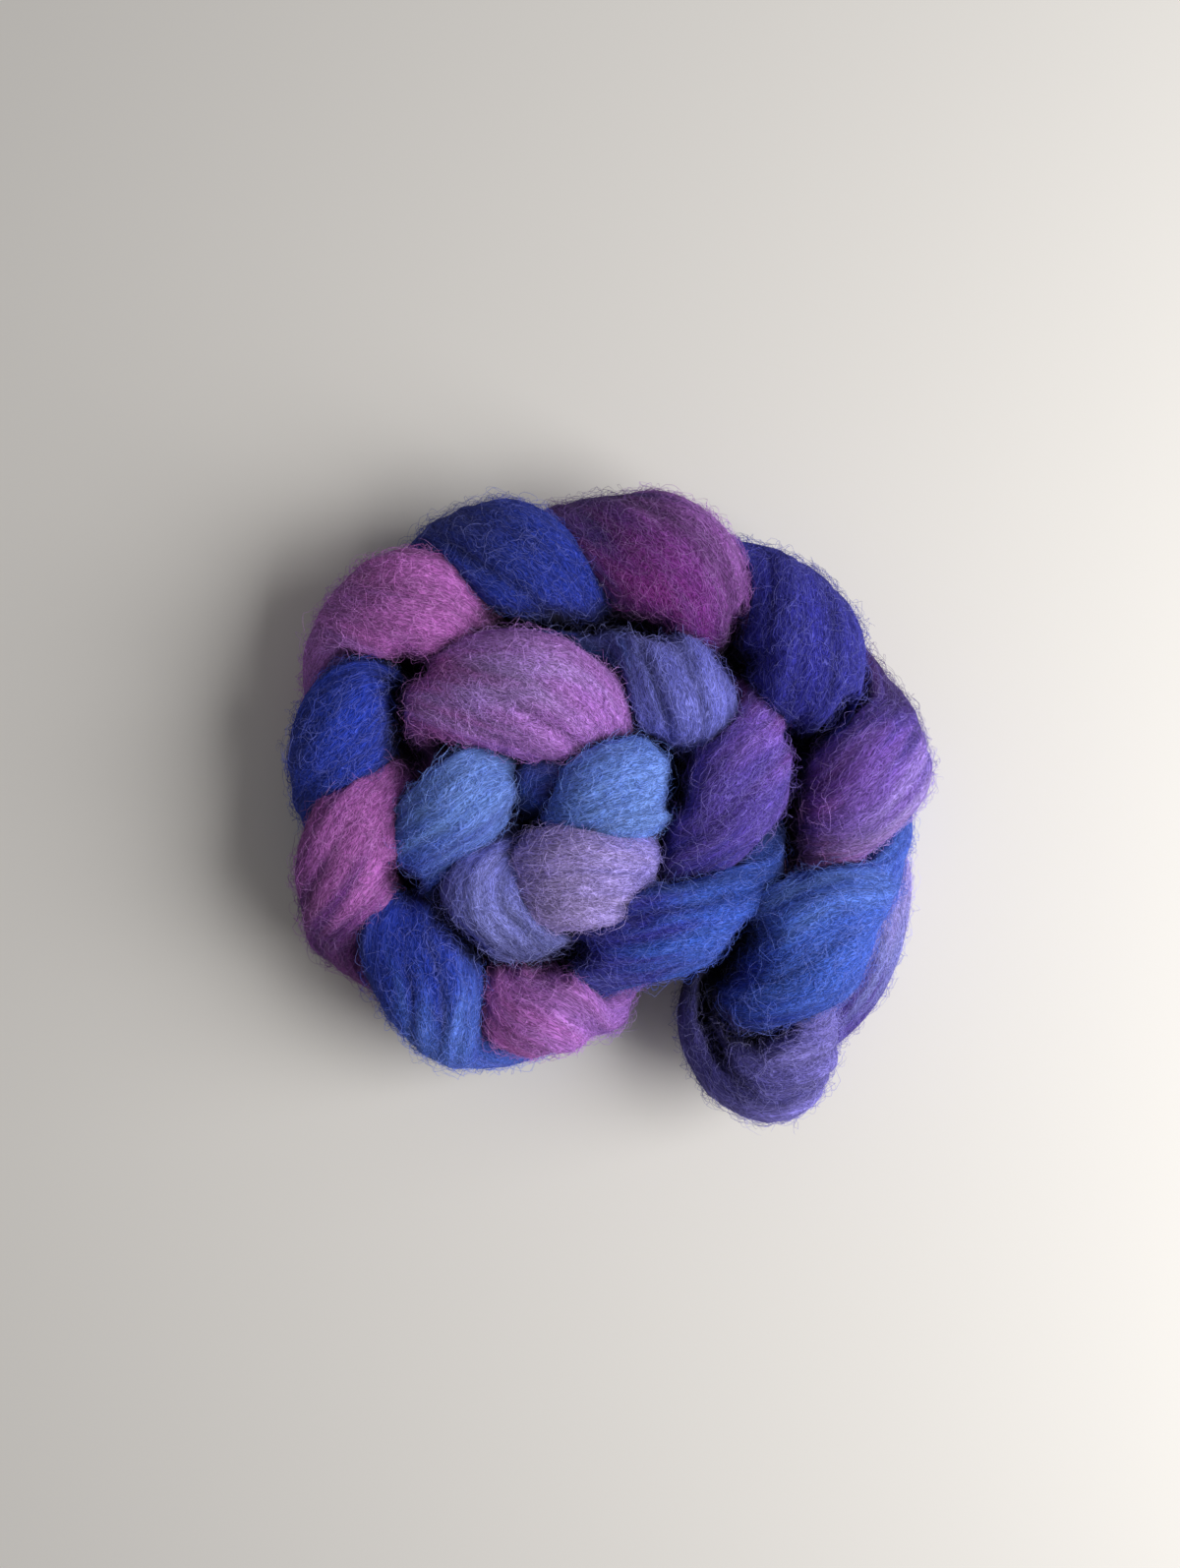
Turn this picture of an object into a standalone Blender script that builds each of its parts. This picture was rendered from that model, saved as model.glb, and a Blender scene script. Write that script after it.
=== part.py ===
"""Braid of wool roving, coiled flat: one length of combed top, doubled at the middle of the coil.

The two halves of the top are laid round each other, so that each in turn lies over the braid as a plump
lobe and then passes under the next one. The braid winds outwards from the middle in one and a half turns.
The coil lies on the plane z = 0, with its middle over the origin and +Z up.
"""

from typing import NamedTuple

import bmesh
import bpy
import numpy as np
from mathutils import Matrix, Vector

MM = 0.001  # the tables below are in millimetres, the model is in metres

# Thickness of the top and how high it lies.
UNDER_Z = 11.5  # centre of the top where it passes under a lobe
LOBE_THICKNESS = 27.0
SIDE_WIDTH, SIDE_THICKNESS = 28.0, 25.0
UNDER_WIDTH, UNDER_THICKNESS = 40.0, 25.0
UNDER_INWARD = 4.0  # how far an under pass keeps towards the coil's inner side
FACE_LAG = 0.35  # how much the top keeps lying face up over a lobe before it turns over the edge
INNER_FLATNESS = 0.86  # how far the face that lies on the other half is pressed flat
GAP_BOTTOM = 13.0  # how high the wool lies at the bottom of a gap between lobes
GAP_SLOPE = 1.2  # how much wider than its own radius a gap is at the top

# How finely the top and the coil are meshed.
STATION_STEP = 2.0
SECTION_POINTS = 56
SKIN_CELL = 2.0
SOLID_TRIANGLES = 12000
FLOOR_CUT = 60.0  # depth of the block below the floor


class Lobe(NamedTuple):
    """One lobe of the braid: it comes up on the coil's inner side and goes down on the outer side."""

    up_x: float
    up_y: float
    crest_x: float
    crest_y: float
    crest_z: float
    down_x: float
    down_y: float
    width: float


# From the outer end of the braid to the middle of the coil. Even rows are one half of the top, odd rows the other.
LOBES = [
    Lobe(up_x=40, up_y=-76, crest_x=51, crest_y=-85, crest_z=31, down_x=64, down_y=-74, width=34),
    Lobe(up_x=47, up_y=-62, crest_x=63, crest_y=-42, crest_z=39, down_x=83, down_y=-23, width=44),
    Lobe(up_x=73, up_y=-12, crest_x=84, crest_y=9, crest_z=38, down_x=88, down_y=28, width=36),
    Lobe(up_x=67, up_y=25, crest_x=63, crest_y=51, crest_z=38, down_x=52, down_y=73, width=39),
    Lobe(up_x=39, up_y=58, crest_x=20, crest_y=77, crest_z=38, down_x=-10, down_y=88, width=44),
    Lobe(up_x=-5, up_y=67, crest_x=-27, crest_y=78, crest_z=37, down_x=-50, down_y=84, width=36),
    Lobe(up_x=-44, up_y=67, crest_x=-62, crest_y=65, crest_z=37, down_x=-82, down_y=58, width=37),
    Lobe(up_x=-76, up_y=42, crest_x=-83, crest_y=26, crest_z=36, down_x=-91, down_y=5, width=35),
    Lobe(up_x=-74, up_y=10, crest_x=-80, crest_y=-14, crest_z=37, down_x=-84, down_y=-36, width=37),
    Lobe(up_x=-70, up_y=-33, crest_x=-57, crest_y=-53, crest_z=38, down_x=-48, down_y=-72, width=38),
    Lobe(up_x=-37, up_y=-61, crest_x=-19, crest_y=-63, crest_z=35, down_x=-7, down_y=-61, width=35),
    Lobe(up_x=-8, up_y=-49, crest_x=19, crest_y=-37, crest_z=38, down_x=47, down_y=-22, width=33),
    Lobe(up_x=28, up_y=-16, crest_x=39, crest_y=6, crest_z=38, down_x=48, down_y=28, width=36),
    Lobe(up_x=30, up_y=25, crest_x=23, crest_y=37, crest_z=38, down_x=7, down_y=50, width=34),
    Lobe(up_x=1, up_y=30, crest_x=-24, crest_y=35, crest_z=42, down_x=-58, down_y=32, width=42),
    Lobe(up_x=-39, up_y=14, crest_x=-48, crest_y=-1, crest_z=39, down_x=-61, down_y=-20, width=31),
    Lobe(up_x=-38, up_y=-14, crest_x=-38, crest_y=-30, crest_z=37, down_x=-14, down_y=-43, width=30),
    Lobe(up_x=-23, up_y=-27, crest_x=-7, crest_y=-20, crest_z=41, down_x=9, down_y=-15, width=37),
    Lobe(up_x=-9, up_y=-5, crest_x=3, crest_y=5, crest_z=40, down_x=15, down_y=12, width=36),
    Lobe(up_x=-5, up_y=10, crest_x=-19, crest_y=12, crest_z=28, down_x=-28, down_y=4, width=26),
]


class Tuck(NamedTuple):
    """A place that a free end of the top passes, outside the regular braid."""

    x: float
    y: float
    z: float
    width: float
    thickness: float


# The end of the even half turns back up beside the last lobe and is tucked under it.
EVEN_END = [
    Tuck(x=50, y=-42, z=13, width=14, thickness=11),
    Tuck(x=41, y=-48, z=18, width=19, thickness=16),
    Tuck(x=36, y=-59, z=22, width=24, thickness=20),
    Tuck(x=37, y=-72, z=26, width=29, thickness=23),
    Tuck(x=43, y=-82, z=29, width=32, thickness=26),
]
# The end of the odd half comes out on the outer side and is tucked up along the rim.
ODD_END = [
    Tuck(x=82, y=-7, z=15, width=16, thickness=12),
    Tuck(x=87, y=-20, z=18, width=28, thickness=18),
    Tuck(x=84, y=-38, z=18, width=31, thickness=21),
    Tuck(x=78, y=-54, z=16, width=32, thickness=22),
    Tuck(x=68, y=-67, z=13, width=32, thickness=22),
    Tuck(x=57, y=-75, z=12, width=30, thickness=22),
    Tuck(x=49, y=-71, z=17, width=29, thickness=24),
]
# Where the two halves are one: the fold of the top, low in the middle of the coil.
FOLD = [Tuck(x=-31, y=9, z=12, width=24, thickness=20)]


class Gap(NamedTuple):
    """A narrow gap between lobes, from one place to another, where the wool lies low."""

    x: float
    y: float
    end_x: float
    end_y: float
    radius: float


GAPS = [
    Gap(x=-36, y=61, end_x=-4, end_y=59, radius=1.4),
    Gap(x=0, y=62, end_x=17, end_y=57, radius=1.8),
    Gap(x=41, y=52, end_x=43, end_y=63, radius=2.0),
    Gap(x=39, y=48, end_x=45, end_y=47, radius=2.8),
    Gap(x=60, y=24, end_x=66, end_y=20, radius=2.4),
    Gap(x=67, y=21, end_x=76, end_y=33, radius=1.6),
    Gap(x=64, y=20, end_x=61, end_y=-19, radius=1.2),
    Gap(x=-65, y=48, end_x=-61, end_y=46, radius=2.6),
    Gap(x=-68, y=40, end_x=-67, end_y=22, radius=0.8),
    Gap(x=-67, y=20, end_x=-62, end_y=16, radius=2.2),
    Gap(x=24, y=16, end_x=22, end_y=2, radius=1.6),
    Gap(x=-68, y=-21, end_x=-63, end_y=-25, radius=1.8),
    Gap(x=-54, y=-35, end_x=-42, end_y=-49, radius=1.4),
    Gap(x=-20, y=-51, end_x=-8, end_y=-45, radius=1.5),
    Gap(x=46, y=-40, end_x=37, end_y=-54, radius=2.6),
    Gap(x=36, y=-56, end_x=36, end_y=-70, radius=1.8),
    Gap(x=40, y=-73, end_x=48, end_y=-77, radius=0.8),
]


def spline(knots, at):
    """The Catmull-Rom curve through equally spaced knots, read at the places `at` (0 is the first knot)."""
    knots = np.asarray(knots, float)
    padded = np.vstack([2 * knots[0] - knots[1], knots, 2 * knots[-1] - knots[-2]])
    first = np.clip(np.floor(at).astype(int), 0, len(knots) - 2)
    t = (at - first)[:, None]
    before, start, end, after = (padded[first + k] for k in range(4))
    return 0.5 * (
        2 * start
        + (end - before) * t
        + (2 * before - 5 * start + 4 * end - after) * t**2
        + (3 * (start - end) + after - before) * t**3
    )


def braid_core():
    """The middle line of the braid, its reach to the outer side and its half height, every half lobe."""
    core, reach, middle, half = [], [], [], []
    for lobe, following in zip(LOBES, LOBES[1:] + LOBES[-1:]):
        core.append((lobe.crest_x, lobe.crest_y))
        core.append(((lobe.down_x + following.up_x) / 2, (lobe.down_y + following.up_y) / 2))
        reach.append(((lobe.down_x - following.up_x) / 2, (lobe.down_y - following.up_y) / 2))
        middle.append((lobe.crest_z + UNDER_Z) / 2)
        half.append((lobe.crest_z - UNDER_Z) / 2)
    return (np.array(values, float) for values in (core, reach, middle, half))


def half_of_top(parity, first, last):
    """Stations along one half of the top, from lobe number `first` up to lobe number `last`.

    Each station is (x, y, z, outward x, outward y, outward z, width, thickness), eight to a lobe.
    """
    core, reach, middle, half = braid_core()
    at = np.arange(first, last + 0.01, 0.125)
    turn = np.pi * (at + parity)
    over, aside = np.cos(turn), np.sin(turn)
    up, down = np.clip(over, 0, 1), np.clip(-over, 0, 1)
    side = spline(reach, at - 0.5)
    outward = side / np.linalg.norm(side, axis=1)[:, None]
    line = spline(core, 2 * at) + side * aside[:, None] - UNDER_INWARD * outward * down[:, None]
    height = spline(middle[:, None], at)[:, 0] + spline(half[:, None], at)[:, 0] * over
    face = turn - FACE_LAG * np.sin(2 * turn)
    lobe_width = np.array([LOBES[min(round(u), len(LOBES) - 1)].width for u in at])
    width = SIDE_WIDTH + (lobe_width - SIDE_WIDTH) * up + (UNDER_WIDTH - SIDE_WIDTH) * down
    thickness = (
        SIDE_THICKNESS
        + (LOBE_THICKNESS - SIDE_THICKNESS) * up
        + (UNDER_THICKNESS - SIDE_THICKNESS) * down
    )
    return np.column_stack(
        [line, height, outward * np.sin(face)[:, None], np.cos(face), width, thickness]
    )


def tucked(tucks):
    """Stations of a tucked end, which lies with its broad face up."""
    knots = np.array([(t.x, t.y, t.z, 0, 0, 1, t.width, t.thickness) for t in tucks], float)
    return spline(knots, np.arange(0, len(knots) - 0.99, 1 / 3)) if len(knots) > 1 else knots


def top_stations():
    """Stations along the whole top: one free end, its half of the braid, the fold, the other half, the other end."""
    even = half_of_top(parity=0, first=0, last=18.75)
    odd = half_of_top(parity=1, first=0.5, last=19.25)
    return np.vstack([tucked(EVEN_END), even, tucked(FOLD), odd[::-1], tucked(ODD_END)[::-1]])


def resampled(stations, step):
    """The same stations read from a smooth curve, about `step` millimetres apart."""
    fine = spline(stations, np.linspace(0, len(stations) - 1, 40 * len(stations)))
    run = np.concatenate([[0], np.cumsum(np.linalg.norm(np.diff(fine[:, :3], axis=0), axis=1))])
    wanted = np.linspace(0, run[-1], int(run[-1] / step) + 1)
    return np.column_stack([np.interp(wanted, run, column) for column in fine.T]), run[-1]


def section_grid(stations, points):
    """Points round each station, in millimetres: pressed flat on the inner face of the top."""
    centre, outward = stations[:, :3], stations[:, 3:6]
    along = np.gradient(centre, axis=0)
    along /= np.linalg.norm(along, axis=1)[:, None]
    normal = outward - (outward * along).sum(1)[:, None] * along
    normal /= np.linalg.norm(normal, axis=1)[:, None]
    across = np.cross(along, normal)
    angle = np.linspace(0, 2 * np.pi, points, endpoint=False)
    rise = np.where(np.sin(angle) > 0, np.sin(angle), INNER_FLATNESS * np.sin(angle))
    wide = stations[:, 6, None] / 2 * np.cos(angle)
    high = stations[:, 7, None] / 2 * rise
    return centre[:, None] + across[:, None] * wide[..., None] + normal[:, None] * high[..., None]


def opened(grid):
    """The grid with its gaps opened: over a gap's line, the wool sinks straight down to the gap's bottom."""
    for gap in GAPS:
        start = np.array([gap.x, gap.y])
        step = np.array([gap.end_x, gap.end_y]) - start
        share = np.clip((grid[..., :2] - start) @ step / (step @ step), 0, 1)
        away = np.linalg.norm(grid[..., :2] - start - share[..., None] * step, axis=-1)
        sinks = np.exp(-((away / (gap.radius + GAP_SLOPE)) ** 2))
        grid[..., 2] -= np.maximum(grid[..., 2] - GAP_BOTTOM, 0) * sinks
    return grid


def loft(grid):
    """A closed bmesh tube through the grid's rings."""
    mesh = bmesh.new()
    rings = [[mesh.verts.new(Vector(point) * MM) for point in ring] for ring in grid]
    for ring, following in zip(rings, rings[1:]):
        for k in range(len(ring)):
            mesh.faces.new((ring[k], ring[k - 1], following[k - 1], following[k]))
    mesh.faces.new(rings[0])
    mesh.faces.new(rings[-1][::-1])
    bmesh.ops.recalc_face_normals(mesh, faces=mesh.faces)
    return mesh


def new_object(name, mesh_or_bmesh, collection):
    """A new object in the collection, from a mesh or a bmesh."""
    data = mesh_or_bmesh
    if isinstance(mesh_or_bmesh, bmesh.types.BMesh):
        data = bpy.data.meshes.new(name)
        mesh_or_bmesh.to_mesh(data)
        mesh_or_bmesh.free()
    made = bpy.data.objects.new(name, data)
    collection.objects.link(made)
    return made


def evaluated_mesh(obj):
    """The object's mesh with its modifiers applied."""
    bpy.context.view_layer.update()
    graph = bpy.context.evaluated_depsgraph_get()
    return bpy.data.meshes.new_from_object(obj.evaluated_get(graph))


def islands(mesh):
    """The connected groups of faces of a bmesh."""
    left, found = set(mesh.faces), []
    while left:
        group, edge_of = set(), [left.pop()]
        while edge_of:
            face = edge_of.pop()
            group.add(face)
            for near in (n for e in face.edges for n in e.link_faces if n in left):
                left.discard(near)
                edge_of.append(near)
        found.append(group)
    return found


def drop_sealed_pockets(data):
    """Keeps only the largest connected surface: the others are pockets shut in between the strands."""
    mesh = bmesh.new()
    mesh.from_mesh(data)
    groups = sorted(islands(mesh), key=len)
    bmesh.ops.delete(mesh, geom=[face for group in groups[:-1] for face in group], context="FACES")
    mesh.to_mesh(data)
    mesh.free()
    return data


def centred(data):
    """The mesh moved sideways, so that the middle of its bounding box is over the origin."""
    points = np.array([vertex.co for vertex in data.vertices])
    middle_x, middle_y, _ = (points.min(axis=0) + points.max(axis=0)) / 2
    data.transform(Matrix.Translation((-middle_x, -middle_y, 0)))
    return data


def wool_material():
    """Matt wool, in the violet blue that most of the braid has."""
    material = bpy.data.materials.new("dyed_wool")
    material.use_nodes = True
    shader = material.node_tree.nodes["Principled BSDF"]
    shader.inputs["Base Color"].default_value = (0.10, 0.08, 0.42, 1)
    shader.inputs["Roughness"].default_value = 0.95
    shader.inputs["Metallic"].default_value = 0.0
    material.diffuse_color = (0.10, 0.08, 0.42, 1)
    return material


def floor_block(collection):
    """The block that presses the underside of the coil flat at z = 0."""
    mesh = bmesh.new()
    bmesh.ops.create_cube(mesh, size=1)
    side = 400 * MM
    bmesh.ops.scale(mesh, verts=mesh.verts, vec=(side, side, FLOOR_CUT * MM))
    bmesh.ops.translate(mesh, verts=mesh.verts, vec=(0, 0, -FLOOR_CUT * MM / 2))
    block = new_object("floor_block", mesh, collection)
    block.hide_render = True
    block.display_type = "WIRE"
    return block


def coiled_braid(collection, cutters):
    """The whole braid as one solid, with its lobes, its hollows between them and its flat underside."""
    stations, length = resampled(top_stations(), STATION_STEP)
    print(f"length of the top: {length:.0f} mm")
    guide = new_object("top_guide", loft(opened(section_grid(stations, SECTION_POINTS))), cutters)
    skin = guide.modifiers.new("skin", "REMESH")
    skin.mode = "VOXEL"
    skin.voxel_size = SKIN_CELL * MM
    joined = centred(drop_sealed_pockets(evaluated_mesh(guide)))
    bpy.data.objects.remove(guide)
    braid = new_object("wool_braid", joined, collection)
    even_out = braid.modifiers.new("even_out", "SMOOTH")
    even_out.factor = 0.5
    even_out.iterations = 2
    thin = braid.modifiers.new("fewer_faces", "DECIMATE")
    joined.calc_loop_triangles()
    thin.ratio = SOLID_TRIANGLES / len(joined.loop_triangles)
    cut = braid.modifiers.new("underside", "BOOLEAN")
    cut.operation = "DIFFERENCE"
    cut.object = floor_block(cutters)
    braid.data.materials.append(wool_material())
    braid.data.shade_smooth()
    return braid


def main():
    """Clears the scene and builds the coil."""
    for obj in list(bpy.data.objects):
        bpy.data.objects.remove(obj)
    parts = bpy.data.collections.new("wool_braid")
    cutters = bpy.data.collections.new("cutters")
    bpy.context.scene.collection.children.link(parts)
    bpy.context.scene.collection.children.link(cutters)
    coiled_braid(parts, cutters)


main()
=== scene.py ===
"""Dresses the coiled braid of wool roving: the dyed combed top, its creases and its loose fibres.

Lengths in the tables are in millimetres, and the meshes are in metres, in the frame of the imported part.
"""

import logging
import math
from dataclasses import dataclass, field, fields
from enum import Enum
from typing import NamedTuple, Sequence

import bpy
import numpy as np
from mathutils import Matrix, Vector, noise
from mathutils.bvhtree import BVHTree


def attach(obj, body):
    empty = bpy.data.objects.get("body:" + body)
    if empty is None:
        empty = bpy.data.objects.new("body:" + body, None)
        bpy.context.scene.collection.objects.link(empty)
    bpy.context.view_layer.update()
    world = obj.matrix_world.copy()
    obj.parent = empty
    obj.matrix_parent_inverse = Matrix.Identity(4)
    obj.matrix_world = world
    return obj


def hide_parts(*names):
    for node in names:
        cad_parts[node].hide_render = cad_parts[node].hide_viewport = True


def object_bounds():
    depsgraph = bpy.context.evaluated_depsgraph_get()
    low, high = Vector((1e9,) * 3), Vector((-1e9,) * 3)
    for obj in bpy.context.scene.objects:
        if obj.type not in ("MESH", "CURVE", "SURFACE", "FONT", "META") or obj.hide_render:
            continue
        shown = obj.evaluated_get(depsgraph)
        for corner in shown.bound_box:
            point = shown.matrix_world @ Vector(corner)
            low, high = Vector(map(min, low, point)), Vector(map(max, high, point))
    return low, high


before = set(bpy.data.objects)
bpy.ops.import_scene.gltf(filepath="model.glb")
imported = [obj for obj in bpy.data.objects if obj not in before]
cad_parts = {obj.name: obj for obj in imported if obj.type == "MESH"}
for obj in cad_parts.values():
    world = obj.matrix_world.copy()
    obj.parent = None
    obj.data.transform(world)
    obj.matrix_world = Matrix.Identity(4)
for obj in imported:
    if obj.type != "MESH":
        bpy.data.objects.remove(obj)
CAD_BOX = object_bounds()

LOG = logging.getLogger("wool_braid")
MM = 0.001
BODY = "root"
CAD_NODE = "wool_braid"
Array = np.ndarray


# --------------------------------------------------------------------------------------------------
# The lay of the top: the lobes lie where they do in the CAD source.


class Lobe(NamedTuple):
    """One lobe of the braid: it comes up on the coil's inner side and goes down on the outer side."""

    up_x: float
    up_y: float
    crest_x: float
    crest_y: float
    crest_z: float
    down_x: float
    down_y: float
    width: float


# From the outer end of the braid to the middle of the coil.
# Even rows are one half of the top, odd rows the other.
LOBES = [
    Lobe(up_x=40, up_y=-76, crest_x=51, crest_y=-85, crest_z=31, down_x=64, down_y=-74, width=34),
    Lobe(up_x=47, up_y=-62, crest_x=63, crest_y=-42, crest_z=39, down_x=83, down_y=-23, width=44),
    Lobe(up_x=73, up_y=-12, crest_x=84, crest_y=9, crest_z=38, down_x=88, down_y=28, width=36),
    Lobe(up_x=67, up_y=25, crest_x=63, crest_y=51, crest_z=38, down_x=52, down_y=73, width=39),
    Lobe(up_x=39, up_y=58, crest_x=20, crest_y=77, crest_z=38, down_x=-10, down_y=88, width=44),
    Lobe(up_x=-5, up_y=67, crest_x=-27, crest_y=78, crest_z=37, down_x=-50, down_y=84, width=36),
    Lobe(up_x=-44, up_y=67, crest_x=-62, crest_y=65, crest_z=37, down_x=-82, down_y=58, width=37),
    Lobe(up_x=-76, up_y=42, crest_x=-83, crest_y=26, crest_z=36, down_x=-91, down_y=5, width=35),
    Lobe(up_x=-74, up_y=10, crest_x=-80, crest_y=-14, crest_z=37, down_x=-84, down_y=-36, width=37),
    Lobe(up_x=-70, up_y=-33, crest_x=-57, crest_y=-53, crest_z=38, down_x=-48, down_y=-72, width=38),
    Lobe(up_x=-37, up_y=-61, crest_x=-19, crest_y=-63, crest_z=35, down_x=-7, down_y=-61, width=35),
    Lobe(up_x=-8, up_y=-49, crest_x=19, crest_y=-37, crest_z=38, down_x=47, down_y=-22, width=33),
    Lobe(up_x=28, up_y=-16, crest_x=39, crest_y=6, crest_z=38, down_x=48, down_y=28, width=36),
    Lobe(up_x=30, up_y=25, crest_x=23, crest_y=37, crest_z=38, down_x=7, down_y=50, width=34),
    Lobe(up_x=1, up_y=30, crest_x=-24, crest_y=35, crest_z=42, down_x=-58, down_y=32, width=42),
    Lobe(up_x=-39, up_y=14, crest_x=-48, crest_y=-1, crest_z=39, down_x=-61, down_y=-20, width=31),
    Lobe(up_x=-38, up_y=-14, crest_x=-38, crest_y=-30, crest_z=37, down_x=-14, down_y=-43, width=30),
    Lobe(up_x=-23, up_y=-27, crest_x=-7, crest_y=-20, crest_z=41, down_x=9, down_y=-15, width=37),
    Lobe(up_x=-9, up_y=-5, crest_x=3, crest_y=5, crest_z=40, down_x=15, down_y=12, width=36),
    Lobe(up_x=-5, up_y=10, crest_x=-19, crest_y=12, crest_z=28, down_x=-28, down_y=4, width=26),
]


class Tuck(NamedTuple):
    """A place that a free end of the top passes, outside the regular braid."""

    x: float
    y: float
    z: float
    width: float
    thickness: float


EVEN_END = [
    Tuck(x=50, y=-42, z=13, width=14, thickness=11),
    Tuck(x=41, y=-48, z=18, width=19, thickness=16),
    Tuck(x=36, y=-59, z=22, width=24, thickness=20),
    Tuck(x=37, y=-72, z=26, width=29, thickness=23),
    Tuck(x=43, y=-82, z=29, width=32, thickness=26),
]
ODD_END = [
    Tuck(x=82, y=-7, z=15, width=16, thickness=12),
    Tuck(x=87, y=-20, z=18, width=28, thickness=18),
    Tuck(x=84, y=-38, z=18, width=31, thickness=21),
    Tuck(x=78, y=-54, z=16, width=32, thickness=22),
    Tuck(x=68, y=-67, z=13, width=32, thickness=22),
    Tuck(x=57, y=-75, z=12, width=30, thickness=22),
    Tuck(x=49, y=-71, z=17, width=29, thickness=24),
]
FOLD = [Tuck(x=-31, y=9, z=12, width=24, thickness=20)]
LAST_LOBE = 19.25  # where the two halves meet, counted in lobes from the outer end
FOLD_PLACE = 19.0
EVEN_LAID = (0.0, 18.75)  # the lobes between which a half is laid in the regular braid
ODD_LAID = (0.5, LAST_LOBE)
EVEN_TUCKED = (-1.2, -0.15)  # the same for its free end, which is tucked in
ODD_TUCKED = (-1.2, 0.3)
NOMINAL_RADIUS = 17.55  # of the plain round section that coordinates on the wool go round
NOISE_GAIN = 1.6  # brings the library's noise to about -1 to 1
CENTRE, OUTWARD, WIDTH, THICKNESS, PLACE = slice(0, 3), slice(3, 6), 6, 7, 8  # columns of the stations


class Half(Enum):
    """The two halves of the doubled top."""

    EVEN = 0
    ODD = 1

    def place(self, lobe: float | Array) -> float | Array:
        """How far along the whole top a lobe of this half lies, in lobes from the even half's first."""
        return lobe if self is Half.EVEN else 2 * LAST_LOBE - lobe


# --------------------------------------------------------------------------------------------------
# Dyes, with a few splashes of painted shade and painted light


class Dye(Enum):
    """The dyes that the wool was painted with, as sRGB values out of 255."""

    SLATE = (60, 54, 130)
    AUBERGINE = (60, 34, 112)
    PLUM = (100, 32, 120)
    ORCHID = (168, 92, 174)
    MAUVE = (162, 104, 190)
    LAVENDER = (164, 146, 212)
    IRIS = (116, 108, 190)
    GRAPE = (122, 85, 190)
    FUCHSIA = (138, 36, 130)
    VIOLET = (82, 60, 160)
    INDIGO = (38, 38, 150)
    ROYAL = (10, 44, 158)
    STEEL = (48, 86, 190)
    SKY = (104, 140, 222)
    PERIWINKLE = (101, 105, 196)
    HAZE = (122, 126, 200)
    NIGHT = (26, 26, 84)

    def linear(self) -> Array:
        """The dye's linear RGB colour."""
        share = np.array(self.value) / 255
        return np.where(share <= 0.04045, share / 12.92, ((share + 0.055) / 1.055) ** 2.4)


class DyeStop(NamedTuple):
    """A place on the top where one dye is at its full strength."""

    half: Half
    lobe: float
    dye: Dye


# How far along a half each dye is at its strongest, in lobes, and the dye.
EVEN_DYES = (
    (-1.2, Dye.NIGHT), (-0.75, Dye.NIGHT), (-0.45, Dye.SLATE), (-0.1, Dye.SLATE), (0.3, Dye.IRIS),
    (0.7, Dye.IRIS), (1.5, Dye.ORCHID), (1.85, Dye.GRAPE), (2.15, Dye.GRAPE), (2.3, Dye.VIOLET),
    (2.48, Dye.AUBERGINE), (3.6, Dye.PLUM), (4.1, Dye.PLUM), (4.4, Dye.AUBERGINE),
    (5.6, Dye.ORCHID), (6.1, Dye.ORCHID), (6.5, Dye.MAUVE), (7.6, Dye.ORCHID), (8.1, Dye.ORCHID),
    (8.38, Dye.PLUM), (9.7, Dye.ORCHID), (10.3, Dye.MAUVE), (11.5, Dye.INDIGO), (11.75, Dye.VIOLET),
    (12.05, Dye.VIOLET), (12.35, Dye.GRAPE), (12.6, Dye.PLUM), (13.5, Dye.MAUVE),
    (14.15, Dye.MAUVE), (14.5, Dye.ORCHID), (15.5, Dye.PERIWINKLE), (16.3, Dye.HAZE),
    (17.5, Dye.STEEL), (17.85, Dye.SKY), (18.1, Dye.SKY), (18.5, Dye.STEEL),
)
ODD_DYES = (
    (19.25, Dye.STEEL), (18.8, Dye.SLATE), (18.3, Dye.NIGHT), (17.6, Dye.IRIS),
    (17.2, Dye.LAVENDER), (16.5, Dye.LAVENDER), (15.35, Dye.STEEL), (15.0, Dye.SKY),
    (14.6, Dye.SKY), (13.6, Dye.STEEL), (13.3, Dye.PERIWINKLE), (12.6, Dye.PERIWINKLE),
    (11.5, Dye.STEEL), (11.05, Dye.STEEL), (10.8, Dye.INDIGO), (10.45, Dye.PERIWINKLE),
    (9.4, Dye.STEEL), (9.05, Dye.ROYAL), (5.0, Dye.ROYAL), (3.4, Dye.INDIGO), (2.6, Dye.INDIGO),
    (1.5, Dye.STEEL), (0.9, Dye.STEEL), (0.5, Dye.ROYAL), (0.1, Dye.INDIGO), (-0.3, Dye.VIOLET),
    (-0.55, Dye.HAZE), (-0.95, Dye.LAVENDER), (-1.15, Dye.LAVENDER),
)
DYE_STOPS = [DyeStop(Half.EVEN, *stop) for stop in EVEN_DYES]
DYE_STOPS += [DyeStop(Half.ODD, *stop) for stop in ODD_DYES]


class DyeAndPaintedLightSplash(NamedTuple):
    """A patch on one side of the top in another colour: most took more of another dye, and a few are painted
    shade and painted light, as marked.
    """

    half: Half
    lobe: float
    length: float  # in lobes
    angle: float  # degrees round the section, where 90 is the middle of the face that shows
    spread: float  # degrees
    dye: Dye
    strength: float


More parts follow.
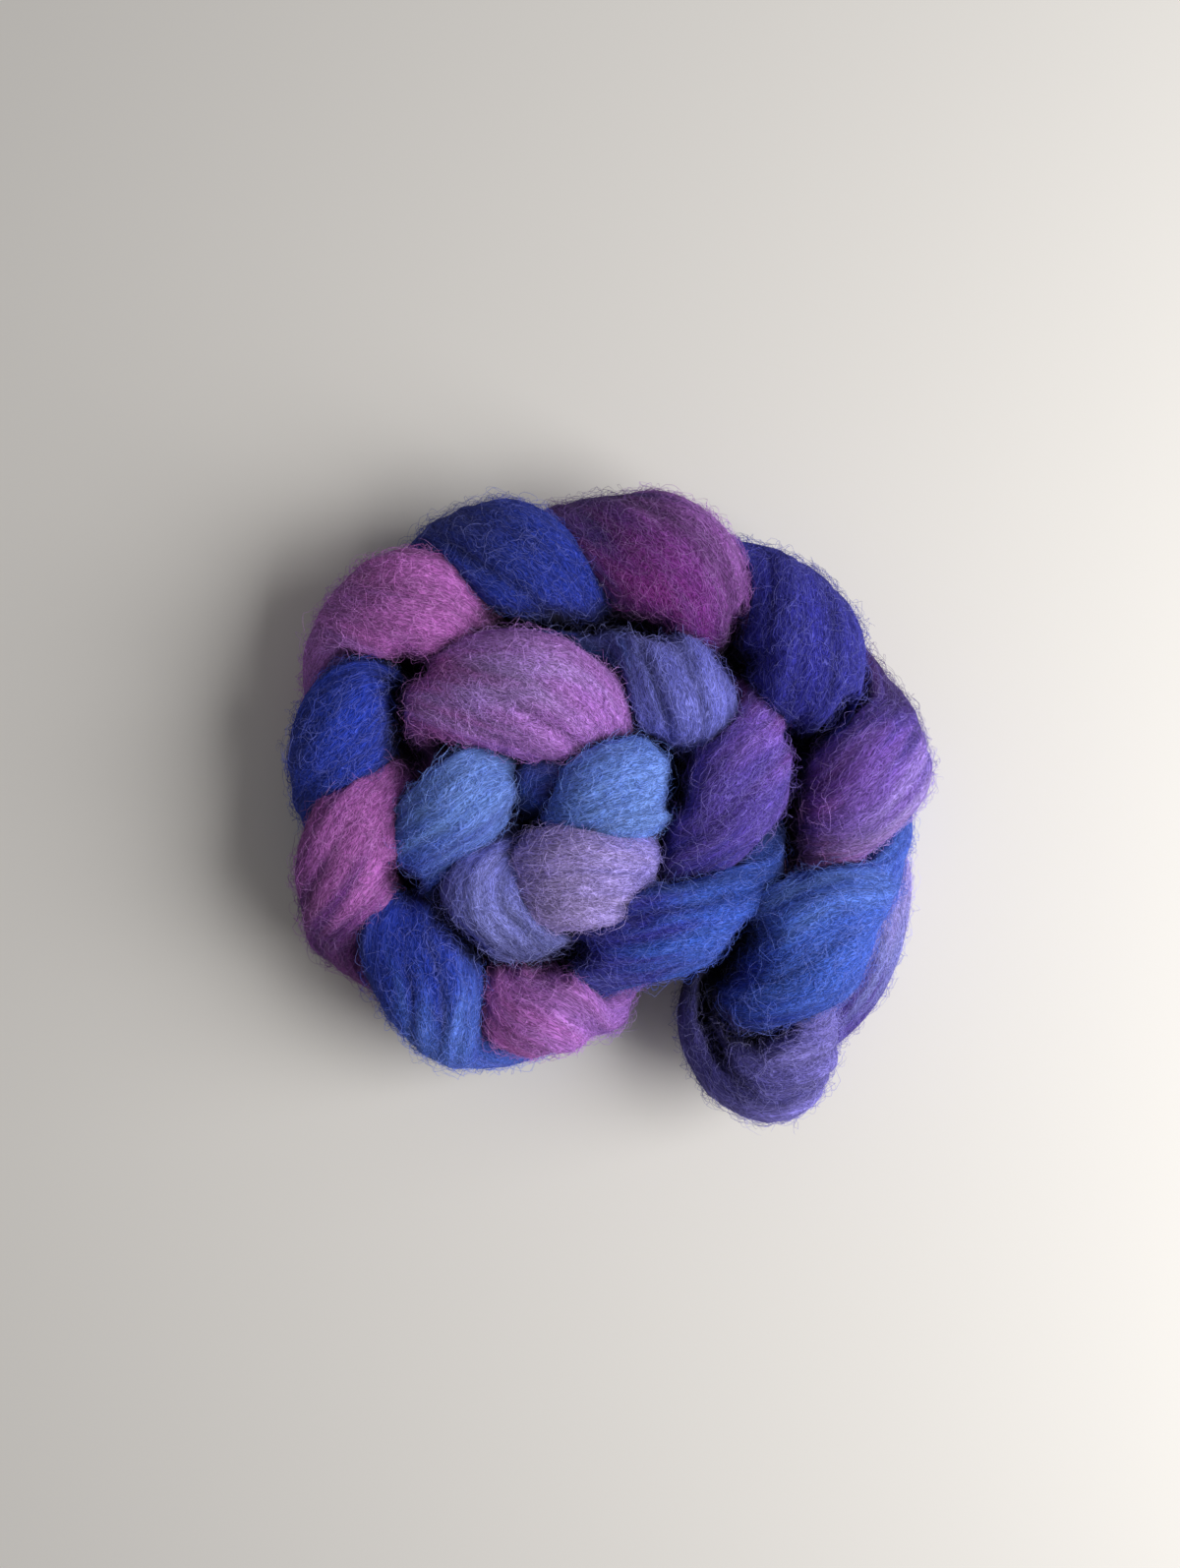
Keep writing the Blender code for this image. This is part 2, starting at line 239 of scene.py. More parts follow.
DYE_AND_PAINTED_LIGHT_SPLASHES = [
    DyeAndPaintedLightSplash(Half.ODD, 1.1, 0.45, 20, 45, Dye.SKY, 0.6),
    DyeAndPaintedLightSplash(Half.ODD, 1.0, 0.50, 150, 40, Dye.NIGHT, 0.12),
    DyeAndPaintedLightSplash(Half.EVEN, 4.0, 0.40, 20, 40, Dye.MAUVE, 0.8),
    DyeAndPaintedLightSplash(Half.EVEN, 3.95, 0.30, 125, 35, Dye.FUCHSIA, 0.4),
    DyeAndPaintedLightSplash(Half.EVEN, 1.8, 0.30, 150, 50, Dye.PLUM, 0.7),
    DyeAndPaintedLightSplash(Half.EVEN, 1.95, 0.45, 25, 45, Dye.LAVENDER, 0.70),
    DyeAndPaintedLightSplash(Half.ODD, 5.3, 0.30, 90, 60, Dye.NIGHT, 0.5),
    DyeAndPaintedLightSplash(Half.EVEN, 8.0, 0.50, 20, 35, Dye.PLUM, 0.6),
    DyeAndPaintedLightSplash(Half.ODD, 9.3, 0.30, 50, 40, Dye.SKY, 0.4),
    DyeAndPaintedLightSplash(Half.ODD, 15.2, 0.40, 30, 40, Dye.INDIGO, 0.4),
    # Painted shade: this lobe's end, in the shadow of the lobes beside it.
    DyeAndPaintedLightSplash(Half.EVEN, 16.4, 0.20, 90, 90, Dye.NIGHT, 0.7),
    DyeAndPaintedLightSplash(Half.EVEN, 8.38, 0.25, 90, 90, Dye.AUBERGINE, 0.35),
    DyeAndPaintedLightSplash(Half.ODD, 17.3, 0.20, 90, 90, Dye.IRIS, 0.65),
    DyeAndPaintedLightSplash(Half.EVEN, 14.1, 0.20, 82, 50, Dye.LAVENDER, 0.50),
    DyeAndPaintedLightSplash(Half.EVEN, 13.8, 0.20, 150, 40, Dye.PLUM, 0.25),
    # Painted shade: this side of the lobe, in the shadow of the lobe over it.
    DyeAndPaintedLightSplash(Half.ODD, 11.0, 0.35, 20, 40, Dye.NIGHT, 0.5),
    DyeAndPaintedLightSplash(Half.ODD, 0.75, 0.25, 30, 40, Dye.NIGHT, 0.3),
    # Painted light: lightens a part of this lobe that lies in shade.
    DyeAndPaintedLightSplash(Half.ODD, 13.45, 0.22, 90, 90, Dye.HAZE, 0.6),
]


@dataclass(frozen=True)
class DyeBath:
    """How the dyes run into each other along the top, with their splashes, a few of which are painted shade
    and painted light.
    """

    stops: Sequence[DyeStop] = tuple(DYE_STOPS)
    splashes: Sequence[DyeAndPaintedLightSplash] = tuple(DYE_AND_PAINTED_LIGHT_SPLASHES)
    streak: float = 0.18  # how far a dye's edge wanders, in lobes
    ragged: float = 25.0  # how far a splash's edge wanders, in degrees

    def colours(self, place: Array, degrees: Array, wander: Array) -> Array:
        """The colour at each place on the top.

        Args:
            place: Places along the top, as from Half.place().
            degrees: Places round its section.
            wander: Noise from -1 to 1 that pushes the dyes' edges to and fro.

        Returns:
            Linear RGB, in one row for each place.
        """
        at = np.array([stop.half.place(stop.lobe) for stop in self.stops])
        colour = np.array([stop.dye.linear() for stop in self.stops])
        order = np.argsort(at)
        where = place + self.streak * wander
        found = np.stack([np.interp(where, at[order], channel) for channel in colour[order].T], axis=-1)
        # Most splashes are more of another dye; a few are painted shade and painted light.
        for splash in self.splashes:
            along = (where - splash.half.place(splash.lobe)) / splash.length
            off = (degrees - splash.angle + 180 + self.ragged * wander) % 360 - 180
            share = splash.strength * np.exp(-(along**2) - (off / splash.spread) ** 2)
            found += share[..., None] * (splash.dye.linear() - found)
        return found


# --------------------------------------------------------------------------------------------------
# Node trees


class Graph:
    """A node tree that is being built."""

    def __init__(self, tree: bpy.types.NodeTree) -> None:
        """Starts from an existing tree."""
        self.tree = tree

    def node(self, kind: str, inputs: dict | None = None, **settings: object) -> bpy.types.Node:
        """Adds a node.

        Args:
            kind: The node's type name.
            inputs: Socket name or number to a value, or to the output socket that feeds it.
            **settings: The node's own properties.

        Returns:
            The new node.
        """
        made = self.tree.nodes.new(kind)
        for name, value in settings.items():
            setattr(made, name, value)
        for name, value in (inputs or {}).items():
            if isinstance(value, bpy.types.NodeSocket):
                self.tree.links.new(value, made.inputs[name])
            else:
                made.inputs[name].default_value = value
        return made

    def maths(self, operation: str, first: object, second: object = 0.0) -> bpy.types.NodeSocket:
        """The result of a sum on two numbers, each a value or a socket."""
        kind = "ShaderNodeMath"
        return self.node(kind, {0: first, 1: second}, operation=operation).outputs[0]

    def vector(self, operation: str, first: object, second: object = (0.0, 0.0, 0.0)) -> bpy.types.NodeSocket:
        """The result of a sum on two vectors, each a value or a socket."""
        kind = "ShaderNodeVectorMath"
        return self.node(kind, {0: first, 1: second}, operation=operation).outputs[0]

    def scaled(self, vector: object, scale: object) -> bpy.types.NodeSocket:
        """A vector times a number."""
        return self.node("ShaderNodeVectorMath", {0: vector, "Scale": scale}, operation="SCALE").outputs[0]

    def lightened(
        self, colour: object, tone: float, white: Sequence[float], share: float
    ) -> bpy.types.NodeSocket:
        """A colour times a tone, with a share of white added."""
        return self.vector("ADD", self.scaled(colour, tone), [share * channel for channel in white[:3]])

    def blobs(self, place: object, scale: float = 1.0, detail: float = 1.0) -> bpy.types.bpy_prop_collection:
        """The outputs of a noise."""
        return self.node("ShaderNodeTexNoise", {"Vector": place, "Scale": scale, "Detail": detail}).outputs

    def curl(self, noise_outputs: bpy.types.bpy_prop_collection, size: object) -> bpy.types.NodeSocket:
        """A small vector from a noise, half as long as `size` at most along each axis."""
        return self.scaled(self.vector("SUBTRACT", noise_outputs["Color"], (0.5, 0.5, 0.5)), size)

    def attribute(self, name: str) -> bpy.types.bpy_prop_collection:
        """The outputs of a material's node that reads one of the mesh's attributes."""
        return self.node("ShaderNodeAttribute", attribute_name=name).outputs

    def mix(self, share: object, first: object, second: object) -> bpy.types.NodeSocket:
        """A colour between two, where a share of 0 is all the first."""
        return self.node("ShaderNodeMix", {0: share, 6: first, 7: second}, data_type="RGBA").outputs[2]


def plain_material(
    name: str, settings: dict[str, object]
) -> tuple[bpy.types.Material, Graph, bpy.types.Node]:
    """Starts a material.

    Args:
        name: Its name.
        settings: The names of its shader's inputs, and their values.

    Returns:
        The material, its tree and its shader.
    """
    material = bpy.data.materials.new(name)
    material.use_nodes = True
    shader = material.node_tree.nodes["Principled BSDF"]
    for socket, value in settings.items():
        shader.inputs[socket].default_value = value
    return material, Graph(material.node_tree), shader


# --------------------------------------------------------------------------------------------------
# Finishes


class StrandLayer(NamedTuple):
    """One layer of fine fibres drawn on the wool."""

    along: float  # features to a metre along the lay
    across: float  # features to a metre across it
    slant: float  # how far the layer leans off the lay, as a slope
    thinness: float  # how sharply a fibre stands out from the gap beside it
    weight: float


class HairLayer(NamedTuple):
    """One layer of single pale hairs drawn on the wool, one to a cell."""

    along: float  # cells to a metre along the lay
    across: float  # cells to a metre across it
    turn: float  # how far a hair may turn from the lay, in radians
    breadth: float  # how wide a hair is, in cells
    shift: float  # tells one layer from another


@dataclass(frozen=True)
class WoolFinish:
    """The surface of the combed top: fine crimped fibres lying along it, matt with a soft sheen."""

    name: str = "dyed_wool_top"
    roughness: float = 0.9
    shine: float = 0.2
    sheen: float = 0.06
    sheen_roughness: float = 0.6
    sheen_tint: tuple[float, float, float, float] = (0.55, 0.5, 0.9, 1.0)
    crimp_scale: float = 340.0
    crimp_size: float = 0.0022
    layers: tuple[StrandLayer, ...] = (
        StrandLayer(220.0, 1400.0, 0.15, 8.0, 1.0),
        StrandLayer(300.0, 1500.0, -0.55, 9.0, 0.95),
        StrandLayer(450.0, 1200.0, 1.00, 10.0, 0.9),
    )
    hairs: tuple[HairLayer, ...] = (
        HairLayer(170.0, 560.0, 0.9, 0.09, 0.00),
        HairLayer(220.0, 480.0, 1.5, 0.08, 0.37),
        HairLayer(280.0, 400.0, 3.1, 0.07, 0.71),
        HairLayer(330.0, 360.0, 3.1, 0.07, 1.13),
    )
    hair_curl: float = 0.0034
    hair_curl_scale: float = 340.0
    hair_reach: float = 0.62  # how far from its middle a hair ends, in cells
    hair_end: float = 6.0  # how sharply it ends
    hairiness: float = 0.70  # how much a hair stands out
    hair_tone: float = 2.0
    hair_white: float = 0.20
    gap_tone: float = 0.58  # how dark it is between the fibres, against the dye
    fibre_tone: float = 1.6
    white: tuple[float, float, float, float] = (0.68, 0.70, 0.95, 1.0)
    whiteness: float = 0.03  # how much paler than the dye a fibre is
    relief: float = 0.0003
    relief_strength: float = 0.8

    def strands(self, graph: Graph, lay: bpy.types.NodeSocket, layer: StrandLayer) -> bpy.types.NodeSocket:
        """Draws one layer of fibres.

        Args:
            graph: The material's tree.
            lay: Crimped coordinates that follow the wool.
            layer: The layer.

        Returns:
            A socket that is 1 on a fibre and 0 between fibres.
        """
        parts = graph.node("ShaderNodeSeparateXYZ", {0: lay}).outputs
        along = graph.maths("ADD", parts[0], graph.maths("MULTIPLY", parts[1], layer.slant))
        leaned = graph.node("ShaderNodeCombineXYZ", {0: along, 1: parts[1], 2: parts[2]}).outputs[0]
        shifted = graph.vector("ADD", leaned, (layer.slant, 3 * layer.slant, layer.slant))
        stretched = graph.vector("MULTIPLY", shifted, (layer.along, layer.across, layer.across))
        off = graph.maths("ABSOLUTE", graph.maths("SUBTRACT", graph.blobs(stretched)[0], 0.5))
        line = graph.maths("SUBTRACT", 1.0, graph.maths("MULTIPLY", off, layer.thinness * 2))
        return graph.maths("MULTIPLY", graph.maths("MAXIMUM", line, 0.0), layer.weight)

    def unrolled(self, graph: Graph, lay: bpy.types.NodeSocket) -> bpy.types.NodeSocket:
        """Unrolls the wool's surface, with the seam on the hidden inner face.

        Args:
            graph: The material's tree.
            lay: Coordinates that follow the wool.

        Returns:
            Curled flat coordinates, along the wool and round it.
        """
        parts = graph.node("ShaderNodeSeparateXYZ", {0: lay}).outputs
        around = graph.maths("MULTIPLY", graph.maths("ARCTAN2", parts[1], parts[2]), NOMINAL_RADIUS * MM)
        flat = graph.node("ShaderNodeCombineXYZ", {0: parts[0], 1: around}).outputs[0]
        return graph.vector("ADD", flat, graph.curl(graph.blobs(lay, self.hair_curl_scale), self.hair_curl))

    def drawn_hairs(self, graph: Graph, flat: bpy.types.NodeSocket, layer: HairLayer) -> bpy.types.NodeSocket:
        """Draws one layer of single hairs.

        Args:
            graph: The material's tree.
            flat: Coordinates from unrolled().
            layer: The layer.

        Returns:
            A socket that is up to 1 on a hair and 0 elsewhere.
        """
        shifted = graph.vector("ADD", flat, (layer.shift, layer.shift, 0.0))
        place = graph.vector("MULTIPLY", shifted, (layer.along, layer.across, 0.0))
        inputs = {"Vector": place, "Scale": 1.0}
        cells = graph.node("ShaderNodeTexVoronoi", inputs, voronoi_dimensions="2D").outputs
        chance = graph.node("ShaderNodeSeparateColor", {0: cells["Color"]}).outputs
        turn = graph.maths("MULTIPLY", graph.maths("SUBTRACT", chance[0], 0.5), 2 * layer.turn)
        away = graph.vector("SUBTRACT", place, cells["Position"])
        turned = graph.node("ShaderNodeVectorRotate", {"Vector": away, "Angle": turn}, rotation_type="Z_AXIS")
        parts = graph.node("ShaderNodeSeparateXYZ", {0: turned.outputs[0]}).outputs
        beside = graph.maths("DIVIDE", graph.maths("ABSOLUTE", parts[1]), layer.breadth)
        line = graph.maths("MAXIMUM", graph.maths("SUBTRACT", 1.0, beside), 0.0)
        room = graph.maths("SUBTRACT", self.hair_reach, graph.maths("ABSOLUTE", parts[0]))
        ends = graph.maths("MULTIPLY", room, self.hair_end)
        fade = graph.maths("MINIMUM", graph.maths("MAXIMUM", ends, 0.0), 1.0)
        return graph.maths("MULTIPLY", graph.maths("MULTIPLY", line, fade), chance[1])

    def combed(
        self, graph: Graph, dye: bpy.types.NodeSocket, lay: bpy.types.NodeSocket
    ) -> tuple[bpy.types.NodeSocket, bpy.types.NodeSocket]:
        """Draws all the layers of fibres.

        Args:
            graph: The material's tree.
            dye: The wool's colour, with its painted shade.
            lay: Coordinates that follow the wool.

        Returns:
            The colour of the fibres and of the gaps between them, and a socket that is 1 on a fibre.
        """
        crimped = graph.vector("ADD", lay, graph.curl(graph.blobs(lay, self.crimp_scale), self.crimp_size))
        first, second, third = (self.strands(graph, crimped, layer) for layer in self.layers)
        mat = graph.maths("MAXIMUM", first, graph.maths("MAXIMUM", second, third))
        gaps = graph.scaled(dye, self.gap_tone)
        fibres = graph.mix(self.whiteness, graph.scaled(dye, self.fibre_tone), self.white)
        return graph.mix(mat, gaps, fibres), mat

    def haired(self, graph: Graph, lay: bpy.types.NodeSocket) -> bpy.types.NodeSocket:
        """Draws all the layers of single hairs.

        Args:
            graph: The material's tree.
            lay: Coordinates that follow the wool.

        Returns:
            A socket that is up to 1 on a hair and 0 elsewhere.
        """
        flat = self.unrolled(graph, lay)
        hairs = self.drawn_hairs(graph, flat, self.hairs[0])
        for layer in self.hairs[1:]:
            hairs = graph.maths("MAXIMUM", hairs, self.drawn_hairs(graph, flat, layer))
        return hairs

    def material(self) -> bpy.types.Material:
        """Builds the material.

        Returns:
            A material that reads the piece's `dye` attribute, which carries painted shade, and its `lay` and
            `exposure` attributes.
        """
        settings = {
            "Roughness": self.roughness,
            "Specular IOR Level": self.shine,
            "Sheen Weight": self.sheen,
            "Sheen Roughness": self.sheen_roughness,
            "Sheen Tint": self.sheen_tint,
        }
        material, graph, shader = plain_material(self.name, settings)
        # The dyes' colour with the painted shade of the folds and creases on it.
        dye = graph.attribute("dye")["Color"]
        lay = graph.attribute("lay")["Vector"]
        combed, mat = self.combed(graph, dye, lay)
        hairs = self.haired(graph, lay)
        # Painted shade: the pale drawn hairs fade where the surface sees less of the sky.
        shown = graph.attribute("exposure")["Fac"]
        share = graph.maths("MULTIPLY", graph.maths("MULTIPLY", hairs, self.hairiness), shown)
        pale = graph.lightened(dye, self.hair_tone, self.white, self.hair_white)
        height = graph.maths("ADD", mat, hairs)
        depth = {"Height": height, "Distance": self.relief, "Strength": self.relief_strength}
        bump = graph.node("ShaderNodeBump", depth)
        graph.tree.links.new(graph.mix(share, combed, pale), shader.inputs["Base Color"])
        graph.tree.links.new(bump.outputs[0], shader.inputs["Normal"])
        return material


@dataclass(frozen=True)
class FibreFinish:
    """The surface of the loose fibres: the dye of the wool they come from, with part of its painted shade, a
    little paler.
    """

    name: str = "dyed_wool_fibre"
    roughness: float = 0.8
    shine: float = 0.25
    sheen: float = 0.05
    full_tone: float = 1.3  # how much lighter than the wool a fully dyed fibre is
    light_tone: float = 1.6
    light_white: float = 0.42  # how much white shows in a fibre that took little dye, and in the painted light of fibres in the folds
    white: tuple[float, float, float] = (0.72, 0.72, 0.95)

    def material(self) -> bpy.types.Material:
        """Builds the material.

        Returns:
            A material that reads the fibres' `tint` and `pale` attributes.
        """
        settings = {"Roughness": self.roughness, "Specular IOR Level": self.shine, "Sheen Weight": self.sheen}
        material, graph, shader = plain_material(self.name, settings)
        # The wool's colour with its painted shade softened to the square root.
        tint = graph.attribute("tint")["Color"]
        light = graph.lightened(tint, self.light_tone, self.white, self.light_white)
        colour = graph.mix(graph.attribute("pale")["Fac"], graph.scaled(tint, self.full_tone), light)
        graph.tree.links.new(colour, shader.inputs["Base Color"])
        return material


# --------------------------------------------------------------------------------------------------
# The combed top


def spline(knots: Sequence, at: Array) -> Array:
    """Reads a Catmull-Rom curve.

    Args:
        knots: The curve's equally spaced knots, in one row each.
        at: Places on the curve, where 0 is the first knot and 1 the second.

    Returns:
        The curve's value at each place.
    """
    knots = np.asarray(knots, float)
    padded = np.vstack([2 * knots[0] - knots[1], knots, 2 * knots[-1] - knots[-2]])
    first = np.clip(np.floor(at).astype(int), 0, len(knots) - 2)
    t = (at - first)[:, None]
    before, start, end, after = (padded[first + k] for k in range(4))
    return 0.5 * (
        2 * start
        + (end - before) * t
        + (2 * before - 5 * start + 4 * end - after) * t**2
        + (3 * (start - end) + after - before) * t**3
    )


def tube_faces(rows: int, columns: int) -> list[tuple[int, ...]]:
    """Joins a grid of points that closes round its second axis.

    Args:
        rows: How many points the grid has along its first axis.
        columns: How many it has round its second.

    Returns:
        The faces, turned outwards.
    """
    faces = []
    for i in range(rows - 1):
        for k in range(columns):
            here, beside = i * columns + k, i * columns + (k + 1) % columns
            faces.append((here, here + columns, beside + columns, beside))
    return faces


class Crease(NamedTuple):
    """A lengthwise groove in the top, where it folded or split as it was laid."""

    half: Half
    from_lobe: float
    to_lobe: float
    angle: float  # degrees round the section, where 90 is the middle of the face that shows
    drift: float  # how many degrees the groove moves round from one end to the other
    width: float
    depth: float


CREASES = [
    Crease(Half.EVEN, 13.7, 14.15, 106, -14, 1.2, 2.6),
    Crease(Half.EVEN, 13.9, 14.4, 125, -8, 1.0, 1.3),
    Crease(Half.ODD, 8.7, 9.4, 70, 10, 1.3, 2.4),
    Crease(Half.ODD, 8.8, 9.5, 105, -8, 1.1, 2.0),
    Crease(Half.ODD, 4.7, 5.4, 60, 10, 1.6, 2.2),
    Crease(Half.EVEN, -0.80, -0.02, 74, 0, 2.2, 5.5),
    Crease(Half.EVEN, 0.02, 0.62, 74, -6, 1.4, 3.0),
    Crease(Half.EVEN, 0.15, 0.60, 105, -10, 1.4, 1.8),
    Crease(Half.EVEN, 0.10, 0.55, 48, 0, 1.2, 2.6),
    Crease(Half.EVEN, 3.7, 4.4, 60, 10, 1.4, 1.8),
    Crease(Half.EVEN, 9.7, 10.4, 100, 10, 1.2, 1.8),
    Crease(Half.EVEN, 7.8, 8.5, 75, 10, 1.2, 1.6),
    Crease(Half.ODD, 12.8, 13.4, 60, 10, 1.2, 2.0),
    Crease(Half.ODD, 12.7, 13.3, 105, 10, 1.2, 1.6),
    Crease(Half.ODD, 10.7, 11.4, 65, 10, 1.2, 1.8),
    Crease(Half.ODD, 14.7, 15.3, 80, 10, 1.1, 1.4),
    Crease(Half.ODD, 0.7, 1.3, 100, 10, 1.3, 1.6),
    Crease(Half.ODD, 2.7, 3.3, 115, 10, 1.3, 1.6),
]


class Gap(NamedTuple):
    """A narrow gap between lobes, from one place to another, that runs down between them."""

    x: float
    y: float
    end_x: float
    end_y: float
    radius: float


GAPS = [
    Gap(x=-36, y=61, end_x=-4, end_y=59, radius=0.9),
    Gap(x=0, y=62, end_x=17, end_y=57, radius=1.8),
    Gap(x=41, y=52, end_x=42, end_y=59, radius=0.9),
    Gap(x=39, y=48, end_x=45, end_y=47, radius=2.2),
    Gap(x=60, y=24, end_x=65, end_y=20, radius=2.0),
    Gap(x=67, y=21, end_x=76, end_y=33, radius=0.6),
    Gap(x=62, y=20, end_x=60, end_y=-19, radius=0.8),
    Gap(x=-65, y=47, end_x=-61, end_y=45, radius=2.0),
    Gap(x=-68, y=40, end_x=-67, end_y=22, radius=0.8),
    Gap(x=-67, y=20, end_x=-62, end_y=16, radius=2.2),
    Gap(x=24, y=16, end_x=22, end_y=2, radius=1.6),
    Gap(x=-68, y=-21, end_x=-63, end_y=-25, radius=1.8),
    Gap(x=-53, y=-34, end_x=-41, end_y=-46, radius=1.2),
    Gap(x=-20, y=-51, end_x=-8, end_y=-45, radius=1.5),
    Gap(x=46, y=-40, end_x=37, end_y=-54, radius=2.6),
    Gap(x=32, y=-57, end_x=31.5, end_y=-68, radius=0.4),
    Gap(x=31.5, y=-68, end_x=36, end_y=-79, radius=0.5),
    Gap(x=35, y=-64, end_x=40, end_y=-72.5, radius=0.1),
    Gap(x=40, y=-72.5, end_x=49, end_y=-74, radius=0.3),
    Gap(x=49, y=-74, end_x=57, end_y=-70, radius=0.1),
]


class Nudge(NamedTuple):
    """A place where one lobe's fluff is pressed or swollen a little as it meets its neighbours."""

    half: Half
    lobe: float
    x: float
    y: float
    z: float
    reach: float
    push_x: float
    push_y: float
    push_z: float


NUDGES = [
    Nudge(Half.EVEN, 18.3, 22, 21, 32, 8, -5, -5, -1),
    Nudge(Half.ODD, 17.3, 7, -28, 32, 9, 4, -1, 2),
    Nudge(Half.ODD, 17.4, 19, -17, 30, 7, -6, 1, 0),
    Nudge(Half.EVEN, 10.5, 0, -66, 20, 8, 2, -4, 0),
    Nudge(Half.EVEN, 6.0, -60, 50, 28, 7, 0, -2.5, 0),
    Nudge(Half.EVEN, 14.2, -48, 50, 30, 11, -2, 2.5, 0),
    Nudge(Half.EVEN, 14.4, -62, 34, 26, 8, -2, 0, 0),
    Nudge(Half.EVEN, 13.8, -28, 56, 32, 10, 0, 1.5, 0),
    Nudge(Half.ODD, 7.0, -72, 33, 28, 8, 1.5, 0, 0),
    Nudge(Half.EVEN, 2.0, 64, 2, 28, 13, -3.5, 0, 0),
    Nudge(Half.ODD, 2.0, 60, 0, 12, 9, -5, 0, 2),
    Nudge(Half.ODD, 12.9, 22, 24, 28, 7, 0, -3, 0),
    Nudge(Half.EVEN, 2.3, 70, 20, 28, 10, -3, 3, 1),
    Nudge(Half.ODD, 2.9, 46, 54, 28, 10, -3, 0, 0),
    Nudge(Half.ODD, 3.35, 46, 79, 26, 10, -3, 1, 0),
    Nudge(Half.ODD, 11.0, 24, -21, 30, 11, 1, -6, -1),
    Nudge(Half.ODD, 11.0, 8, -28, 28, 8, 4, -5, -3),
    Nudge(Half.EVEN, 11.8, 20, -19, 30, 9, -4, -6, 1),
    Nudge(Half.EVEN, 8.2, -66, -25, 28, 9, -8, 0, 0),
    Nudge(Half.ODD, 8.9, -66, -30, 28, 8, -2, 5, 0),
    Nudge(Half.EVEN, 8.3, -90, -42, 16, 11, -4, -3.5, 0),
    Nudge(Half.EVEN, 16.2, -37, -46, 28, 13, 1, 5, 0),
    Nudge(Half.EVEN, 10.0, -25, -51, 28, 10, 0, 3, 0),
    Nudge(Half.ODD, 17.0, -10, -36, 28, 10, -1, 3, 0),
    Nudge(Half.EVEN, 4.25, -12, 85, 28, 11, -6, 0, 0),
    Nudge(Half.ODD, 10.9, 1, -57, 24, 11, 0, -5, 0),
    Nudge(Half.EVEN, 3.75, 47, 69, 30, 10, -8, 0, 0),
    Nudge(Half.ODD, 12.8, 41, 35, 28, 8, -3, -1, 0),
    Nudge(Half.EVEN, 12.3, 47, 32, 28, 9, -2, 4, 1),
    Nudge(Half.ODD, 16.8, -25, -15, 30, 12, -7, 0, 0),
    Nudge(Half.ODD, 10.8, 0, -46, 26, 13, -9, -1, 1),
    Nudge(Half.ODD, 10.7, -5, -50, 25, 10, -9, -1, 5),
    Nudge(Half.EVEN, 10.15, -10, -52, 29, 11, -1, -3, -8),
    Nudge(Half.EVEN, 16.2, -28, -50, 26, 12, 1, 4, 0),
    Nudge(Half.EVEN, 16.3, -16, -48, 28, 9, -1, 4, -1),
    Nudge(Half.EVEN, 10.3, 16, -56, 20, 9, -8, 0, 0),
    Nudge(Half.EVEN, 6.0, -65, 78, 25, 9, 0, -2, 0),
    Nudge(Half.EVEN, 6.1, -78, 74, 22, 9, -1.5, 1.5, 0),
    Nudge(Half.EVEN, 5.8, -38, 62, 30, 8, 4, 0, 0),
    Nudge(Half.EVEN, 1.8, 88, -14, 30, 9, 0, 4, 0),
    Nudge(Half.ODD, 0.75, 43, -67, 28, 9, -2.5, -5, 0),
    Nudge(Half.ODD, 1.2, 74, -56, 26, 9, -1.5, 1.5, 0),
]


class Grain(NamedTuple):
    """A smooth unevenness of the wool."""

    along: float  # how long its waves are along the top, in millimetres
    around: float  # how long they are round the section
    seed: float  # tells one unevenness from another
    size: float


@dataclass(frozen=True)
class OpenSky:
    """How much of the sky each part of the surface sees, found with rays. Sizes are in millimetres."""

    rays: int = 18
    lowest: float = 0.06  # the height of the lowest ray, where straight up is 1
    climb: float = 0.9  # how much higher the highest ray is
    reach: float = 90.0
    clearance: float = 0.8  # how far off the surface a ray starts
    sideways: float = 0.15  # how much a ray along the surface counts; one straight off it counts 1 more
    least_total: float = 1.2  # the least that all the rays count together, for a face that looks down
    every: int = 2  # the rays start from every second row and column of the surface

    def directions(self) -> list[tuple[float, float, float]]:
        """Spreads the rays over the sky on a spiral.

        Returns:
            The rays' directions.
        """
        golden = math.pi * (3 - math.sqrt(5))
        found = []
        for k in range(self.rays):
            z = self.lowest + self.climb * k / (self.rays - 1)
            flat = math.sqrt(1 - z * z)
            found.append((math.cos(golden * k) * flat, math.sin(golden * k) * flat, z))
        return found

    def seen(self, points: Array, normals: Array) -> Array:
        """How open to the light each part of the surface is, from 0 where it is buried to 1.

        Args:
            points: The surface grid.
            normals: Its normals.

        Returns:
            One value for each grid point.
        """
        rough, facing = points[:: self.every, :: self.every], normals[:: self.every, :: self.every]
        rows, columns = rough.shape[:2]
        tree = BVHTree.FromPolygons(rough.reshape(-1, 3).tolist(), tube_faces(rows, columns))
        rays = self.directions()
        seen = np.zeros((rows, columns))
        for i in range(rows):
            for k in range(columns):
                start = Vector(rough[i, k] + self.clearance * facing[i, k])
                weights = [max(0.0, float(np.dot(facing[i, k], ray)) + self.sideways) for ray in rays]
                open_share = sum(
                    weight
                    for weight, ray in zip(weights, rays)
                    if weight and tree.ray_cast(start, Vector(ray), self.reach)[0] is None
                )
                seen[i, k] = open_share / max(sum(weights), self.least_total)
        at_row = np.arange(points.shape[0]) / self.every
        at_column = np.arange(points.shape[1]) / self.every
        wrapped = np.hstack([seen, seen[:, :1]])
        full = np.stack([np.interp(at_row, np.arange(rows), column) for column in wrapped.T], axis=1)
        return np.stack([np.interp(at_column, np.arange(columns + 1), row) for row in full])


